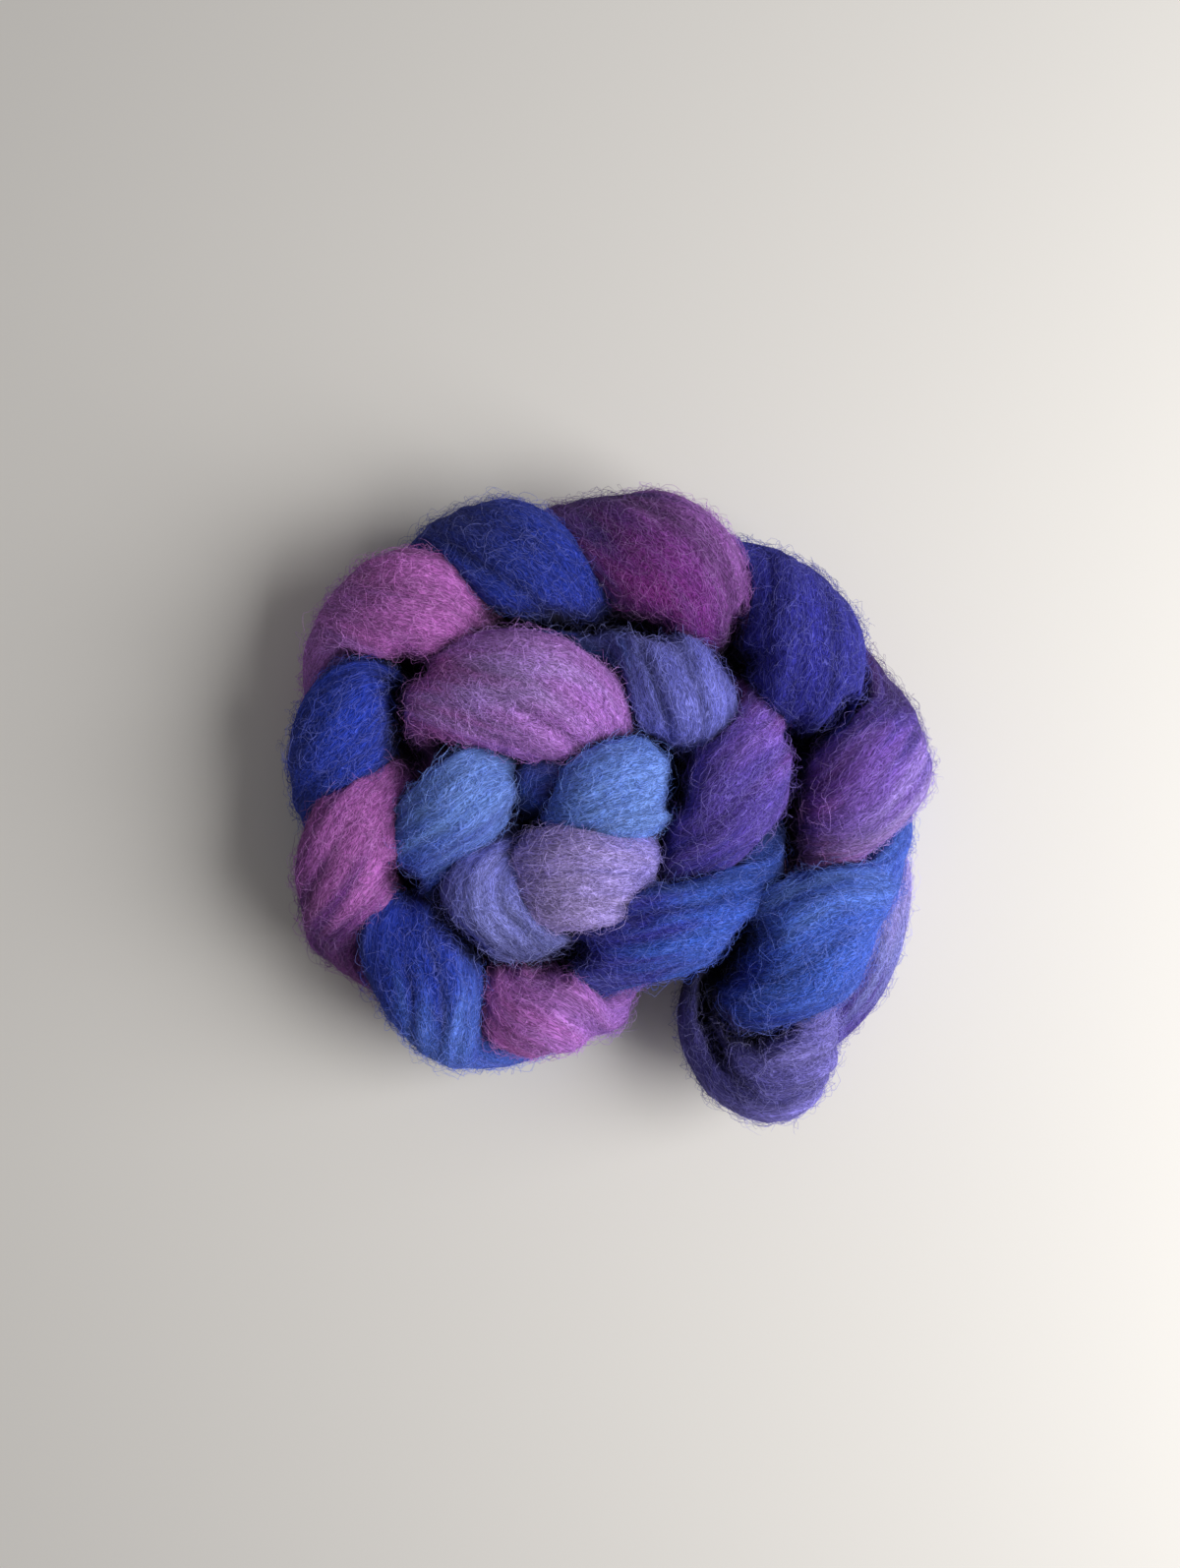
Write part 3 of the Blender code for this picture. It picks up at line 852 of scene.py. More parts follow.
@dataclass
class CombedTop:
    """The whole length of dyed combed top, as it lies in the coiled braid. Sizes are in millimetres."""

    name: str = "wool_top"
    under_height: float = 11.5  # of the middle of the wool where it passes beneath
    lobe_thickness: float = 27.0
    side_width: float = 28.0  # where it goes down or comes up at the side of the braid
    side_thickness: float = 25.0
    under_width: float = 40.0
    under_thickness: float = 25.0
    under_inward: float = 4.0  # how far the passes beneath lie in from the braid's side
    face_lag: float = 0.35  # how far the broad face lags behind the wool's turn, in radians
    inner_flatness: float = 0.86  # how thick the inner half of a section is against the outer
    lobe_step: float = 0.125  # how far apart the lay is worked out, in lobes
    fineness: int = 40  # how many parts a step of the lay is cut in before it is measured
    station_step: float = 2.0
    section_points: int = 60
    coat_room: float = 1.1  # what the loose fibres take up all round
    lumps: Grain = Grain(along=30, around=12, seed=3.7, size=1.2)
    ridges: Grain = Grain(along=45, around=3.5, seed=11.3, size=0.6)
    streaks: Grain = Grain(along=40, around=5, seed=23.1, size=1.0)
    fine_streaks: Grain = Grain(along=12, around=2.5, seed=7.9, size=0.6)
    tones: Grain = Grain(along=60, around=4, seed=31.7, size=0.22)
    crease_end: float = 4.0  # how soon a crease gets its depth: 4 for a quarter of its length
    crease_seam: float = 0.35  # how far the wool wells up again along the middle of a crease
    seam_narrowness: float = 3.0
    floor: float = 0.0
    gap_bottom: float = 13.0  # how high the wool lies at the bottom of a gap
    gap_slope: float = 1.2  # how much a gap widens at its rim
    fold_shade: float = 0.04  # painted shade: the share of its colour that the wool keeps deep in the folds, against 1 in the open
    open_enough: float = 0.74  # how open a place must be to get no painted shade
    crease_shade: float = 0.5  # painted shade: how much darker the colour is made down in a deep crease
    deep_crease: float = 2.0
    bath: DyeBath = field(default_factory=DyeBath)
    sky: OpenSky = field(default_factory=OpenSky)
    finish: WoolFinish = field(default_factory=WoolFinish)
    shift: Array = field(default_factory=lambda: np.zeros(3))  # how far the mesh was moved, in metres

    def half_stations(self, half: Half, first: float, last: float) -> Array:
        """Stations along one half of the top.

        Args:
            half: Which half.
            first: The lobe that the stations start from.
            last: The lobe that they end at.

        Returns:
            Rows of x, y, z, outward x, y, z, width, thickness and place, eight to a lobe.
        """
        core, reach, middle, rise = [], [], [], []
        for lobe, following in zip(LOBES, LOBES[1:] + LOBES[-1:]):
            core.append((lobe.crest_x, lobe.crest_y))
            core.append(((lobe.down_x + following.up_x) / 2, (lobe.down_y + following.up_y) / 2))
            reach.append(((lobe.down_x - following.up_x) / 2, (lobe.down_y - following.up_y) / 2))
            middle.append([(lobe.crest_z + self.under_height) / 2])
            rise.append([(lobe.crest_z - self.under_height) / 2])
        at = np.arange(first, last + 0.01, self.lobe_step)
        turn = np.pi * (at + half.value)
        over, aside = np.cos(turn), np.sin(turn)
        up, down = np.clip(over, 0, 1), np.clip(-over, 0, 1)
        side = spline(reach, at - 0.5)
        outward = side / np.linalg.norm(side, axis=1)[:, None]
        line = spline(core, 2 * at) + side * aside[:, None] - self.under_inward * outward * down[:, None]
        height = spline(middle, at)[:, 0] + spline(rise, at)[:, 0] * over
        face = turn - self.face_lag * np.sin(2 * turn)
        lobe_width = np.array([LOBES[min(round(u), len(LOBES) - 1)].width for u in at])
        width = self.side_width + (lobe_width - self.side_width) * up
        width += (self.under_width - self.side_width) * down
        thickness = self.side_thickness + (self.lobe_thickness - self.side_thickness) * up
        thickness += (self.under_thickness - self.side_thickness) * down
        place = half.place(at)
        return np.column_stack(
            [line, height, outward * np.sin(face)[:, None], np.cos(face), width, thickness, place]
        )

    def tucked(self, tucks: Sequence[Tuck], first_place: float, last_place: float) -> Array:
        """Stations of a tucked end or the fold, which lie with their broad face up.

        Args:
            tucks: The places that it passes.
            first_place: How far along the top its first place is.
            last_place: How far along the top its last place is.

        Returns:
            Rows as in half_stations, three to a tuck.
        """
        places = np.linspace(first_place, last_place, len(tucks))
        rows = [(t.x, t.y, t.z, 0, 0, 1, t.width, t.thickness, at) for t, at in zip(tucks, places)]
        knots = np.array(rows, float)
        return spline(knots, np.arange(0, len(knots) - 0.99, 1 / 3)) if len(knots) > 1 else knots

    def stations(self) -> tuple[Array, Array]:
        """Stations along the whole top, evenly spaced.

        Returns:
            The stations, and how far along the top each lies, in millimetres.
        """
        parts = [
            self.tucked(EVEN_END, *EVEN_TUCKED),
            self.half_stations(Half.EVEN, *EVEN_LAID),
            self.tucked(FOLD, FOLD_PLACE, FOLD_PLACE),
            self.half_stations(Half.ODD, *ODD_LAID)[::-1],
            self.tucked(ODD_END, *(Half.ODD.place(lobe) for lobe in ODD_TUCKED))[::-1],
        ]
        rough = np.vstack(parts)
        fine = spline(rough, np.linspace(0, len(rough) - 1, self.fineness * len(rough)))
        run = np.concatenate([[0], np.cumsum(np.linalg.norm(np.diff(fine[:, CENTRE], axis=0), axis=1))])
        wanted = np.linspace(0, run[-1], int(run[-1] / self.station_step) + 1)
        return np.column_stack([np.interp(wanted, run, column) for column in fine.T]), wanted

    def grid(self, stations: Array) -> Array:
        """The plain surface round the stations, before its relief.

        Args:
            stations: Rows from stations().

        Returns:
            Points in millimetres: stations by section points by three.
        """
        centre, outward = stations[:, CENTRE], stations[:, OUTWARD]
        along = np.gradient(centre, axis=0)
        along /= np.linalg.norm(along, axis=1)[:, None]
        normal = outward - (outward * along).sum(1)[:, None] * along
        normal /= np.linalg.norm(normal, axis=1)[:, None]
        across = np.cross(along, normal)
        angle = self.angles()
        rise = np.where(np.sin(angle) > 0, np.sin(angle), self.inner_flatness * np.sin(angle))
        wide = (stations[:, WIDTH, None] / 2 - self.coat_room) * np.cos(angle)
        high = (stations[:, THICKNESS, None] / 2 - self.coat_room) * rise
        return centre[:, None] + across[:, None] * wide[..., None] + normal[:, None] * high[..., None]

    def angles(self) -> Array:
        """The angles round the section, in radians, where a quarter turn is the middle of the outer face."""
        return np.linspace(0, 2 * np.pi, self.section_points, endpoint=False)

    @staticmethod
    def grid_normals(points: Array) -> Array:
        """Finds which way the surface faces.

        Args:
            points: A grid of points that closes round its second axis.

        Returns:
            The outward normal at each grid point.
        """
        along = np.gradient(points, axis=0)
        around = np.roll(points, -1, axis=1) - np.roll(points, 1, axis=1)
        normal = np.cross(along, around)
        return normal / np.maximum(np.linalg.norm(normal, axis=2, keepdims=True), 1e-9)

    def lay(self, run: Array) -> Array:
        """Finds coordinates that follow the wool.

        Args:
            run: How far along the top each station lies.

        Returns:
            For each grid point, its place along the top and on a plain round section, in metres.
        """
        angle = self.angles()
        shape = (len(run), len(angle))
        along = np.broadcast_to(run[:, None], shape)
        beside = np.broadcast_to(NOMINAL_RADIUS * np.cos(angle), shape)
        above = np.broadcast_to(NOMINAL_RADIUS * np.sin(angle), shape)
        return np.stack([along, beside, above], axis=-1) * MM

    @staticmethod
    def wander(lay: Array, grain: Grain) -> Array:
        """Smooth noise on the lay of the wool.

        Args:
            lay: Coordinates from lay().
            grain: The noise's lengths, seed and size.

        Returns:
            One value for each coordinate, between plus and minus the grain's size or so.
        """
        scaled = lay / MM / np.array([grain.along, grain.around, grain.around]) + grain.seed
        values = [noise.noise(Vector(point)) for point in scaled.reshape(-1, 3)]
        return grain.size * (np.array(values).reshape(lay.shape[:-1]) * NOISE_GAIN)

    def creased(self, stations: Array) -> Array:
        """Finds how deep the creases are.

        Args:
            stations: Rows from stations().

        Returns:
            The depth at each grid point.
        """
        degrees = np.degrees(self.angles())
        depth = np.zeros((len(stations), len(degrees)))
        for crease in CREASES:
            first, last = sorted(crease.half.place(lobe) for lobe in (crease.from_lobe, crease.to_lobe))
            share = (stations[:, PLACE] - first) / (last - first)
            fade = np.clip(self.crease_end * share, 0, 1) * np.clip(self.crease_end * (1 - share), 0, 1)
            middle = crease.angle + crease.drift * (share - 0.5)
            off = np.radians((degrees - middle[:, None] + 180) % 360 - 180) * NOMINAL_RADIUS / crease.width
            seam = self.crease_seam * np.exp(-((self.seam_narrowness * off) ** 2))
            depth += crease.depth * fade[:, None] * (np.exp(-(off**2)) - seam)
        return depth

    def relief(self, creases: Array, lay: Array) -> Array:
        """How far lumps, ridges and creases lift the surface off the plain section."""
        return self.wander(lay, self.lumps) + self.wander(lay, self.ridges) - creases

    @staticmethod
    def nudged(points: Array, stations: Array) -> Array:
        """Presses or swells the lobes where they meet.

        Args:
            points: The surface grid.
            stations: Rows from stations().

        Returns:
            The surface after each nudge, which moves one lobe near one place.
        """
        for nudge in NUDGES:
            off = np.abs(stations[:, PLACE] - nudge.half.place(nudge.lobe))
            near = np.clip(2 - 2 * off, 0, 1)[:, None]  # all within half a lobe, nothing past a whole one
            away = np.linalg.norm(points - (nudge.x, nudge.y, nudge.z), axis=-1)
            weight = near * np.exp(-((away / nudge.reach) ** 2))
            points = points + weight[..., None] * np.array([nudge.push_x, nudge.push_y, nudge.push_z])
        return points

    def opened(self, points: Array) -> Array:
        """The surface with its gaps opened between the lobes.

        Args:
            points: The surface, in the tables' millimetres.

        Returns:
            The surface, sunk where a gap runs down into it.
        """
        for gap in GAPS:
            start = np.array([gap.x, gap.y])
            step = np.array([gap.end_x, gap.end_y]) - start
            share = np.clip((points[..., :2] - start) @ step / (step @ step), 0, 1)
            away = np.linalg.norm(points[..., :2] - start - share[..., None] * step, axis=-1)
            depth = np.maximum(points[..., 2] - self.gap_bottom, 0)
            points[..., 2] -= depth * np.exp(-((away / (gap.radius + self.gap_slope)) ** 2))
        return points

    def colours(self, stations: Array, lay: Array) -> Array:
        """The dyes' colours on the surface, in full light, with a few splashes of painted shade and painted
        light among them.

        Args:
            stations: Rows from stations().
            lay: Coordinates from lay().

        Returns:
            Linear RGB for each grid point.
        """
        place = np.broadcast_to(stations[:, PLACE, None], lay.shape[:2])
        streaks = self.wander(lay, self.streaks) + self.wander(lay, self.fine_streaks)
        colour = self.bath.colours(place, np.degrees(self.angles()), streaks)
        return colour * (1 + self.wander(lay, self.tones))[..., None]

    def shade(self, exposure: Array, creases: Array) -> Array:
        """The painted shade in the folds and creases: the share of its colour in the open that the wool
        keeps.

        Args:
            exposure: How open each part of the surface is.
            creases: How deep the creases are there.

        Returns:
            One value for each grid point.
        """
        open_share = np.clip(exposure / self.open_enough, 0, 1)
        shade = self.fold_shade + (1 - self.fold_shade) * open_share**2 * (3 - 2 * open_share)
        return shade * (1 - self.crease_shade * np.clip(creases / self.deep_crease, 0, 1))

    def closed_mesh(self, points: Array) -> bpy.types.Mesh:
        """Makes the surface a closed mesh, in metres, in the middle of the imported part.

        Args:
            points: The finished surface grid.

        Returns:
            The mesh.
        """
        rows, columns = points.shape[:2]
        faces = tube_faces(rows, columns)
        faces.append(tuple(range(columns)))
        faces.append(tuple(reversed(range((rows - 1) * columns, rows * columns))))
        flat = points.reshape(-1, 3) * MM
        middle = (flat.min(axis=0) + flat.max(axis=0)) / 2
        low, high = (np.array(corner) for corner in CAD_BOX)
        self.shift = np.array([*((low + high) / 2 - middle)[:2], 0.0])
        mesh = bpy.data.meshes.new(self.name)
        mesh.from_pydata((flat + self.shift).tolist(), [], faces)
        mesh.shade_smooth()
        return mesh

    def build(self) -> bpy.types.Object:
        """Builds the top as one closed mesh, with the attributes that its finish and its fibres read.

        Returns:
            The finished object.
        """
        stations, run = self.stations()
        lay, creases = self.lay(run), self.creased(stations)
        points = self.grid(stations)
        points = points + self.grid_normals(points) * self.relief(creases, lay)[..., None]
        points = self.opened(self.nudged(points, stations))
        exposure = self.sky.seen(points, self.grid_normals(points))
        points[..., 2] = np.maximum(points[..., 2], self.floor)
        mesh = self.closed_mesh(points)
        along = np.gradient(points, axis=0)
        along /= np.linalg.norm(along, axis=2, keepdims=True)
        colour, shade = self.colours(stations, lay), self.shade(exposure, creases)
        # The `dye` attribute is the colour with the painted shade of the folds and creases on it; the fibres'
        # attribute has that painted shade softened to its square root.
        for name, tone in (("dye", shade), ("tint", np.sqrt(shade))):
            toned = np.clip(colour * tone[..., None], 0, 1)
            rgba = np.concatenate([toned, np.ones((*tone.shape, 1))], axis=2)
            mesh.color_attributes.new(name, "FLOAT_COLOR", "POINT").data.foreach_set("color", rgba.ravel())
        for name, values in (("lay", lay), ("run", along)):
            mesh.attributes.new(name, "FLOAT_VECTOR", "POINT").data.foreach_set("vector", values.ravel())
        mesh.attributes.new("exposure", "FLOAT", "POINT").data.foreach_set("value", exposure.ravel())
        mesh.materials.append(self.finish.material())
        piece = bpy.data.objects.new(self.name, mesh)
        bpy.context.scene.collection.objects.link(piece)
        LOG.info("%s: %.0f mm long, %d faces", self.name, run[-1], len(mesh.polygons))
        return piece


# --------------------------------------------------------------------------------------------------
# Loose fibres


SPARE_ATTRIBUTES = ("own", "run", "lay", "exposure", "dye", "id")  # what the finished fibres don't need


class FibreTree:
    """The Geometry Nodes tree that grows a coat of fibres on the wool. Sizes are in metres."""

    SIZES = (0.55, 1.45)  # the shortest and the longest fibre, as shares of the usual length
    LEAST_LIFT = 0.3  # what the flattest fibre lifts, where the others lift up to 1 more
    END_LIFT = 1.8  # how late along a fibre its free end leaves the wool
    FLOOR = (-9.0, -9.0, 0.0002)  # the lowest that a fibre may lie, with no limit to the sides
    WAVE_SHIFT, CRIMP_SHIFT = 40.0, 70.0  # keep one fibre's waves from being its neighbour's
    TAPER_POWER, TAPER = 3.0, 4.5  # how late and how much a fibre thins towards its ends
    HIDDEN_PALE, SHOWN_LESS = 1.2, 0.4  # painted light: how pale fibres are made in the folds, and how much less in the open
    PALE_POWER = 1.2  # how rare the palest fibres are

    def __init__(self, name: str, sockets: dict[str, str], material: bpy.types.Material) -> None:
        """Builds the tree.

        Args:
            name: Its name.
            sockets: The names of its inputs, and their socket types.
            material: The fibres' material.
        """
        self.tree = bpy.data.node_groups.new(name, "GeometryNodeTree")
        self.tree.interface.new_socket("Wool", in_out="INPUT", socket_type="NodeSocketGeometry")
        self.tree.interface.new_socket("Fibres", in_out="OUTPUT", socket_type="NodeSocketGeometry")
        self.identifiers = {
            socket: self.tree.interface.new_socket(socket, in_out="INPUT", socket_type=kind).identifier
            for socket, kind in sockets.items()
        }
        self.graph = Graph(self.tree)
        self.given = self.graph.node("NodeGroupInput").outputs
        self.traits = self.named("own", "FLOAT_VECTOR")
        self.trait = self.graph.node("ShaderNodeSeparateXYZ", {0: self.traits}).outputs
        self.share = self.graph.node("GeometryNodeSplineParameter").outputs["Factor"]
        curves = self.shaped(self.straight(self.scattered()))
        tubes = self.tubes(self.toned(self.slimmed(curves)))
        whole = self.graph.node("GeometryNodeRealizeInstances", {"Geometry": tubes}).outputs[0]
        dressed = self.graph.node("GeometryNodeSetMaterial", {"Geometry": whole, "Material": material})
        self.graph.node("NodeGroupOutput", {0: dressed.outputs[0]})

    def named(self, name: str, kind: str) -> bpy.types.NodeSocket:
        """A named attribute of the wool or the fibres."""
        return self.graph.node("GeometryNodeInputNamedAttribute", {"Name": name}, data_type=kind).outputs[0]

    def stored(self, geometry: object, name: str, value: object, kind: str) -> bpy.types.NodeSocket:
        """Stores an attribute.

        Args:
            geometry: Points or curves.
            name: The attribute's name.
            value: What each point gets.
            kind: The attribute's data type.

        Returns:
            The geometry with the attribute on its points.
        """
        inputs = {"Geometry": geometry, "Name": name, "Value": value}
        kinds = {"data_type": kind, "domain": "POINT"}
        return self.graph.node("GeometryNodeStoreNamedAttribute", inputs, **kinds).outputs[0]

    def chance(self, low: float, high: float, step: int) -> bpy.types.NodeSocket:
        """A random number for each point."""
        seed = self.graph.maths("ADD", self.given["Seed"], float(step))
        return self.graph.node("FunctionNodeRandomValue", {2: low, 3: high, "Seed": seed}).outputs[1]

    def scattered(self) -> bpy.types.Node:
        """Scatters the fibres' middles over the wool that shows.

        Returns:
            The node that scatters them.
        """
        g, given = self.graph, self.given
        shown = self.named("exposure", "FLOAT")
        edge = g.maths("SUBTRACT", 1.0, g.maths("MULTIPLY", shown, given["Edges"]))
        spread = g.maths("MULTIPLY", g.maths("MULTIPLY", shown, edge), given["Density"])
        inputs = {"Mesh": given["Wool"], "Density": spread, "Seed": given["Seed"]}
        return g.node("GeometryNodeDistributePointsOnFaces", inputs)

    def straight(self, scatter: bpy.types.Node) -> bpy.types.NodeSocket:
        """Lays a straight fibre on each point, more or less along the wool.

        Args:
            scatter: The node from scattered().

        Returns:
            The fibres, as curves. Each carries three random traits of its own.
        """
        g, given = self.graph, self.given
        cube = {0: (0.0, 0.0, 0.0), 1: (1.0, 1.0, 1.0), "Seed": given["Seed"]}
        own = g.node("FunctionNodeRandomValue", cube, data_type="FLOAT_VECTOR").outputs[0]
        marked = self.stored(scatter.outputs["Points"], "own", own, "FLOAT_VECTOR")
        align = "FunctionNodeAlignRotationToVector"
        upright = g.node(align, {"Vector": scatter.outputs["Normal"]}, axis="Z").outputs[0]
        along = {"Rotation": upright, "Vector": self.named("run", "FLOAT_VECTOR")}
        laid = g.node(align, along, axis="X", pivot_axis="Z").outputs[0]
        turn = g.maths("MULTIPLY", self.chance(-1.0, 1.0, 1), given["Stray"])
        spin = {"Axis": (0.0, 0.0, 1.0), "Angle": turn}
        about = g.node("FunctionNodeAxisAngleToRotation", spin).outputs[0]
        turned = {"Rotation": laid, "Rotate By": about}
        facing = g.node("FunctionNodeRotateRotation", turned, rotation_space="LOCAL").outputs[0]
        line = g.node("GeometryNodeCurvePrimitiveLine", {"Start": (-0.5, 0.0, 0.0), "End": (0.5, 0.0, 0.0)})
        cut = g.node("GeometryNodeResampleCurve", {"Curve": line.outputs[0], "Count": given["Points"]})
        size = g.maths("MULTIPLY", given["Length"], self.chance(*self.SIZES, 2))
        inputs = {"Points": marked, "Instance": cut.outputs[0], "Rotation": facing, "Scale": size}
        grown = g.node("GeometryNodeInstanceOnPoints", inputs)
        return g.node("GeometryNodeRealizeInstances", {"Geometry": grown.outputs[0]}).outputs[0]

    def shaped(self, curves: bpy.types.NodeSocket) -> bpy.types.NodeSocket:
        """Lays the fibres on the wool's surface, lifts them off it, and gives them their waves and crimp.

        Args:
            curves: Straight fibres.

        Returns:
            The shaped fibres.
        """
        g, given, trait = self.graph, self.given, self.trait
        place = g.node("GeometryNodeInputPosition").outputs[0]
        nearest, normal = (
            g.node(
                "GeometryNodeSampleNearestSurface",
                {"Mesh": given["Wool"], "Value": value, "Sample Position": place},
                data_type="FLOAT_VECTOR",
            ).outputs[0]
            for value in (place, g.node("GeometryNodeInputNormal").outputs[0])
        )
        waves = []
        for kind, shift in (("Wave", self.WAVE_SHIFT), ("Crimp", self.CRIMP_SHIFT)):
            moved = g.vector("ADD", g.scaled(place, given[f"{kind} Scale"]), g.scaled(self.traits, shift))
            waves.append(g.curl(g.blobs(moved, detail=0.0), g.maths("MULTIPLY", given[kind], 2.0)))
        bow = g.maths("MULTIPLY", g.maths("SINE", g.maths("MULTIPLY", self.share, math.pi)), given["Lift"])
        lift = g.maths("MULTIPLY", bow, g.maths("ADD", trait[0], self.LEAST_LIFT))
        loose = g.maths("MULTIPLY", g.maths("POWER", self.share, self.END_LIFT), given["Free End"])
        rise = g.maths("ADD", lift, g.maths("MULTIPLY", loose, trait[1]))
        base = g.vector("ADD", nearest, g.scaled(normal, rise))
        waved = g.vector("ADD", base, g.vector("ADD", *waves))
        lowest = g.vector("MAXIMUM", waved, self.FLOOR)
        return g.node("GeometryNodeSetPosition", {"Geometry": curves, "Position": lowest}).outputs[0]

    def slimmed(self, curves: bpy.types.NodeSocket) -> bpy.types.NodeSocket:
        """Gives the fibres their thickness.

        Args:
            curves: The fibres.

        Returns:
            The same fibres, thinning towards both ends.
        """
        g = self.graph
        off = g.maths("ABSOLUTE", g.maths("SUBTRACT", self.share, 0.5))
        taper = g.maths("SUBTRACT", 1.0, g.maths("POWER", off, self.TAPER_POWER))
        slim = g.maths("SUBTRACT", taper, g.maths("MULTIPLY", g.maths("SUBTRACT", 1.0, taper), self.TAPER))
        radius = g.maths("MULTIPLY", g.maths("MULTIPLY", self.given["Thickness"], 0.5), slim)
        return g.node("GeometryNodeSetCurveRadius", {"Curve": curves, "Radius": radius}).outputs[0]

    def toned(self, curves: bpy.types.NodeSocket) -> bpy.types.NodeSocket:
        """Stores how pale each fibre is: more for some at random, and more in the folds as painted light.

        Args:
            curves: The fibres.

        Returns:
            The fibres with their `pale` attribute.
        """
        g = self.graph
        less = g.maths("MULTIPLY", self.named("exposure", "FLOAT"), self.SHOWN_LESS)
        hidden = g.maths("SUBTRACT", self.HIDDEN_PALE, less)
        lightness = g.maths("POWER", self.trait[2], self.PALE_POWER)
        pale = g.maths("MULTIPLY", lightness, g.maths("MULTIPLY", self.given["Pale"], hidden))
        return self.stored(curves, "pale", pale, "FLOAT")

    def tubes(self, curves: bpy.types.NodeSocket) -> bpy.types.NodeSocket:
        """Makes the fibres solid.

        Args:
            curves: The fibres.

        Returns:
            Closed tubes of three sides.
        """
        g = self.graph
        section = g.node("GeometryNodeCurvePrimitiveCircle", {"Resolution": 3, "Radius": 1.0}).outputs[0]
        inputs = {"Curve": curves, "Profile Curve": section, "Fill Caps": True}
        tubes = g.node("GeometryNodeCurveToMesh", inputs)
        if "Scale" in tubes.inputs:
            self.tree.links.new(g.node("GeometryNodeInputRadius").outputs[0], tubes.inputs["Scale"])
        return tubes.outputs[0]


@dataclass(frozen=True)
class FibreCoat:
    """One kind of loose fibre on the top. Sizes are in metres, and angles in radians."""

    name: str
    density: float  # fibres to a square metre of open surface
    edges: float  # how far the fibres keep to the lobes' edges, from 0, everywhere, to 1
    length: float
    lift: float  # how far the middle of a fibre stands off the surface
    free_end: float  # how far its end stands off
    stray: float  # how far its direction may turn from the wool's
    wave: float  # size of its long waves
    wave_scale: float
    crimp: float  # size of its fine crimp
    crimp_scale: float
    thickness: float
    pale: float
    seed: int
    points: int = 7

    def inputs(self) -> dict[str, tuple[str, float | int]]:
        """The tree's named inputs.

        Returns:
            A name for each size above, its socket type, and this coat's value.
        """
        found = {}
        for part in fields(self)[1:]:
            value = getattr(self, part.name)
            kind = "NodeSocketInt" if isinstance(value, int) else "NodeSocketFloat"
            found[part.name.replace("_", " ").title()] = (kind, value)
        return found

    def grow(self, wool: bpy.types.Object, material: bpy.types.Material) -> bpy.types.Object:
        """Grows the coat on the top.

        Args:
            wool: The top.
            material: The fibres' material.

        Returns:
            The fibres, as a plain mesh.
        """
        piece = bpy.data.objects.new(self.name, wool.data)
        bpy.context.scene.collection.objects.link(piece)
        inputs = self.inputs()
        made = FibreTree(self.name, {name: kind for name, (kind, _) in inputs.items()}, material)
        growth = piece.modifiers.new("growth", "NODES")
        growth.node_group = made.tree
        for name, (_, value) in inputs.items():
            growth[made.identifiers[name]] = value
        graph = bpy.context.evaluated_depsgraph_get()
        mesh = bpy.data.meshes.new_from_object(piece.evaluated_get(graph))
        piece.modifiers.clear()
        piece.data = mesh
        mesh.name = self.name
        for spare in SPARE_ATTRIBUTES:
            if spare in mesh.attributes:
                mesh.attributes.remove(mesh.attributes[spare])
        LOG.info("%s: %d faces", self.name, len(mesh.polygons))
        return piece


COATS = [
    FibreCoat(
        name="laid_fibres", density=76e3, edges=0.3, length=0.010, lift=0.0006, free_end=0.0003,
        stray=0.6, wave=0.0022, wave_scale=260.0, crimp=0.0003, crimp_scale=350.0, thickness=0.00013,
        pale=0.55, seed=5, points=9,
    ),
    FibreCoat(
        name="crossing_fibres", density=68e3, edges=0.3, length=0.010, lift=0.0008, free_end=0.0003,
        stray=1.3, wave=0.0028, wave_scale=260.0, crimp=0.0004, crimp_scale=350.0, thickness=0.00013,
        pale=0.65, seed=6, points=10,
    ),
    FibreCoat(
        name="edge_frizz", density=125e3, edges=0.85, length=0.009, lift=0.0016, free_end=0.0014,
        stray=1.6, wave=0.0036, wave_scale=250.0, crimp=0.0005, crimp_scale=350.0, thickness=0.00012,
        pale=0.75, seed=17, points=10,
    ),
    FibreCoat(
        name="open_frizz", density=58e3, edges=0.45, length=0.008, lift=0.0012, free_end=0.0006,
        stray=1.6, wave=0.0034, wave_scale=250.0, crimp=0.0005, crimp_scale=350.0, thickness=0.00012,
        pale=0.75, seed=18, points=10,
    ),
    FibreCoat(
        name="flyaway_fibres", density=66e3, edges=0.5, length=0.011, lift=0.0016, free_end=0.0028,
        stray=1.6, wave=0.0036, wave_scale=170.0, crimp=0.0005, crimp_scale=300.0, thickness=0.00009,
        pale=0.80, seed=29, points=12,
    ),
]


# --------------------------------------------------------------------------------------------------
# Studio


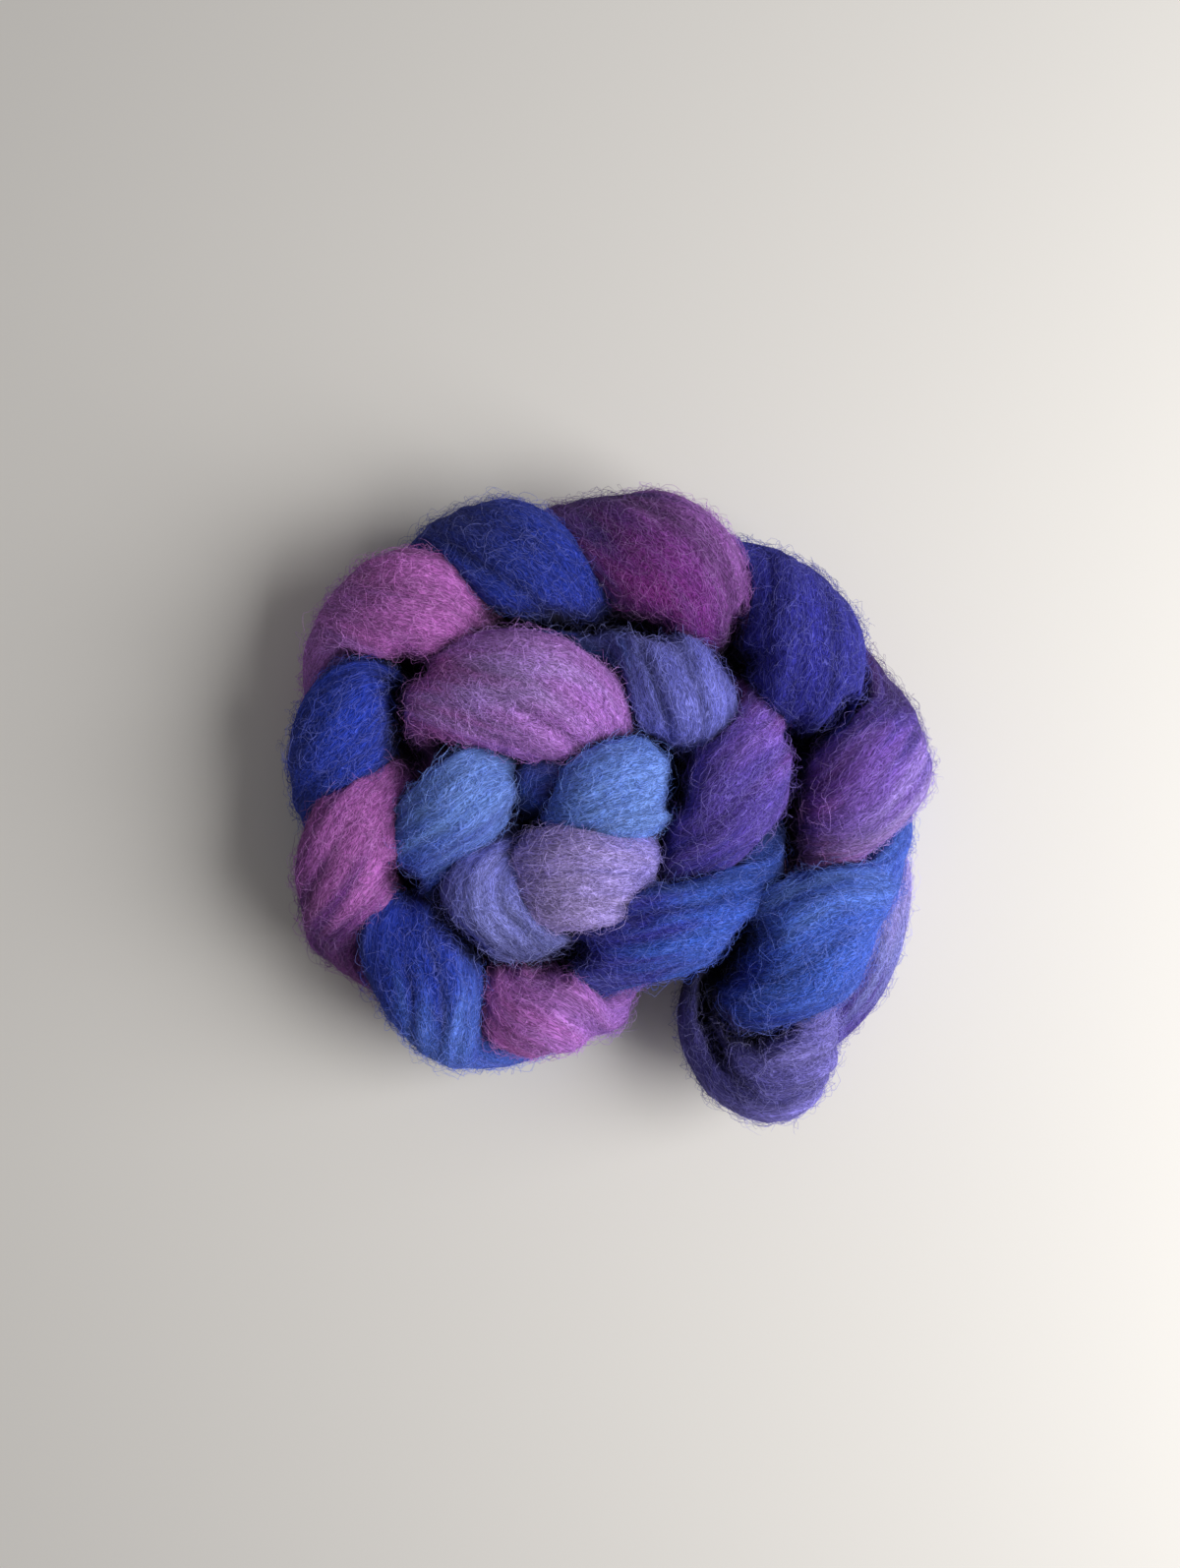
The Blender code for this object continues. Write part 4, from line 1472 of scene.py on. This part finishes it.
@dataclass
class Studio:
    """A plain pale table top under soft light from the right, and a camera straight above."""

    camera_height: float = 0.480
    camera_x: float = -0.0054
    camera_y: float = 0.008
    picture_height: int = 1594
    pixel: float = 0.3376 * MM  # what one pixel takes in on the table
    sensor: float = 36.0  # millimetres
    floor_size: float = 3.0
    floor_height: float = -0.0002
    window_place: tuple[float, float, float] = (0.78, -0.12, 0.60)
    window_size: float = 0.80
    window_power: float = 13.9
    window_tint: tuple[float, float, float] = (1.0, 0.985, 0.965)
    room_light: float = 0.185
    room_tint: tuple[float, float, float, float] = (1.0, 0.97, 0.95, 1.0)
    floor_colour: tuple[float, float, float, float] = (0.77, 0.755, 0.73, 1.0)
    floor_roughness: float = 0.9

    def floor(self) -> bpy.types.Object:
        """Lays the table top.

        Returns:
            The finished object.
        """
        half = self.floor_size / 2
        mesh = bpy.data.meshes.new("table_top")
        corners = [(-half, -half), (half, -half), (half, half), (-half, half)]
        mesh.from_pydata([(x, y, self.floor_height) for x, y in corners], [], [(0, 1, 2, 3)])
        settings = {"Base Color": self.floor_colour, "Roughness": self.floor_roughness}
        mesh.materials.append(plain_material("pale_table", settings)[0])
        top = bpy.data.objects.new("table_top", mesh)
        bpy.context.scene.collection.objects.link(top)
        return top

    def light(self) -> None:
        """Lights the coil: a broad window on the right, and a little light from all round."""
        light = bpy.data.lights.new("window", "AREA")
        light.size = self.window_size
        light.energy = self.window_power
        light.color = self.window_tint
        lamp = bpy.data.objects.new("window", light)
        lamp.location = self.window_place
        lamp.rotation_mode = "QUATERNION"
        lamp.rotation_quaternion = Vector(self.window_place).to_track_quat("Z", "Y")
        bpy.context.scene.collection.objects.link(lamp)
        world = bpy.data.worlds.new("room")
        world.use_nodes = True
        world.node_tree.nodes["Background"].inputs[0].default_value = self.room_tint
        world.node_tree.nodes["Background"].inputs[1].default_value = self.room_light
        bpy.context.scene.world = world
        bpy.context.scene.view_settings.view_transform = "Standard"

    def camera(self, shift: Array) -> None:
        """Hangs the camera over the coil.

        Args:
            shift: How far the coil was moved from the tables' own places.
        """
        data = bpy.data.cameras.new("overhead_camera")
        data.sensor_width = self.sensor
        data.lens = self.sensor * self.camera_height / (self.picture_height * self.pixel)
        eye = bpy.data.objects.new("overhead_camera", data)
        eye.location = (self.camera_x + shift[0], self.camera_y + shift[1], self.camera_height)
        bpy.context.scene.collection.objects.link(eye)
        bpy.context.scene.camera = eye


def main() -> None:
    """Builds the top, its fibres and the studio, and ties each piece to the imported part."""
    logging.basicConfig(level=logging.INFO, format="%(name)s: %(message)s")
    top = CombedTop()
    wool = top.build()
    fibre = FibreFinish().material()
    pieces = [wool] + [coat.grow(wool, fibre) for coat in COATS]
    for piece in pieces:
        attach(piece, BODY)
        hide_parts(CAD_NODE)
    studio = Studio()
    studio.floor()
    studio.light()
    studio.camera(top.shift)


if __name__ == "__main__":
    main()
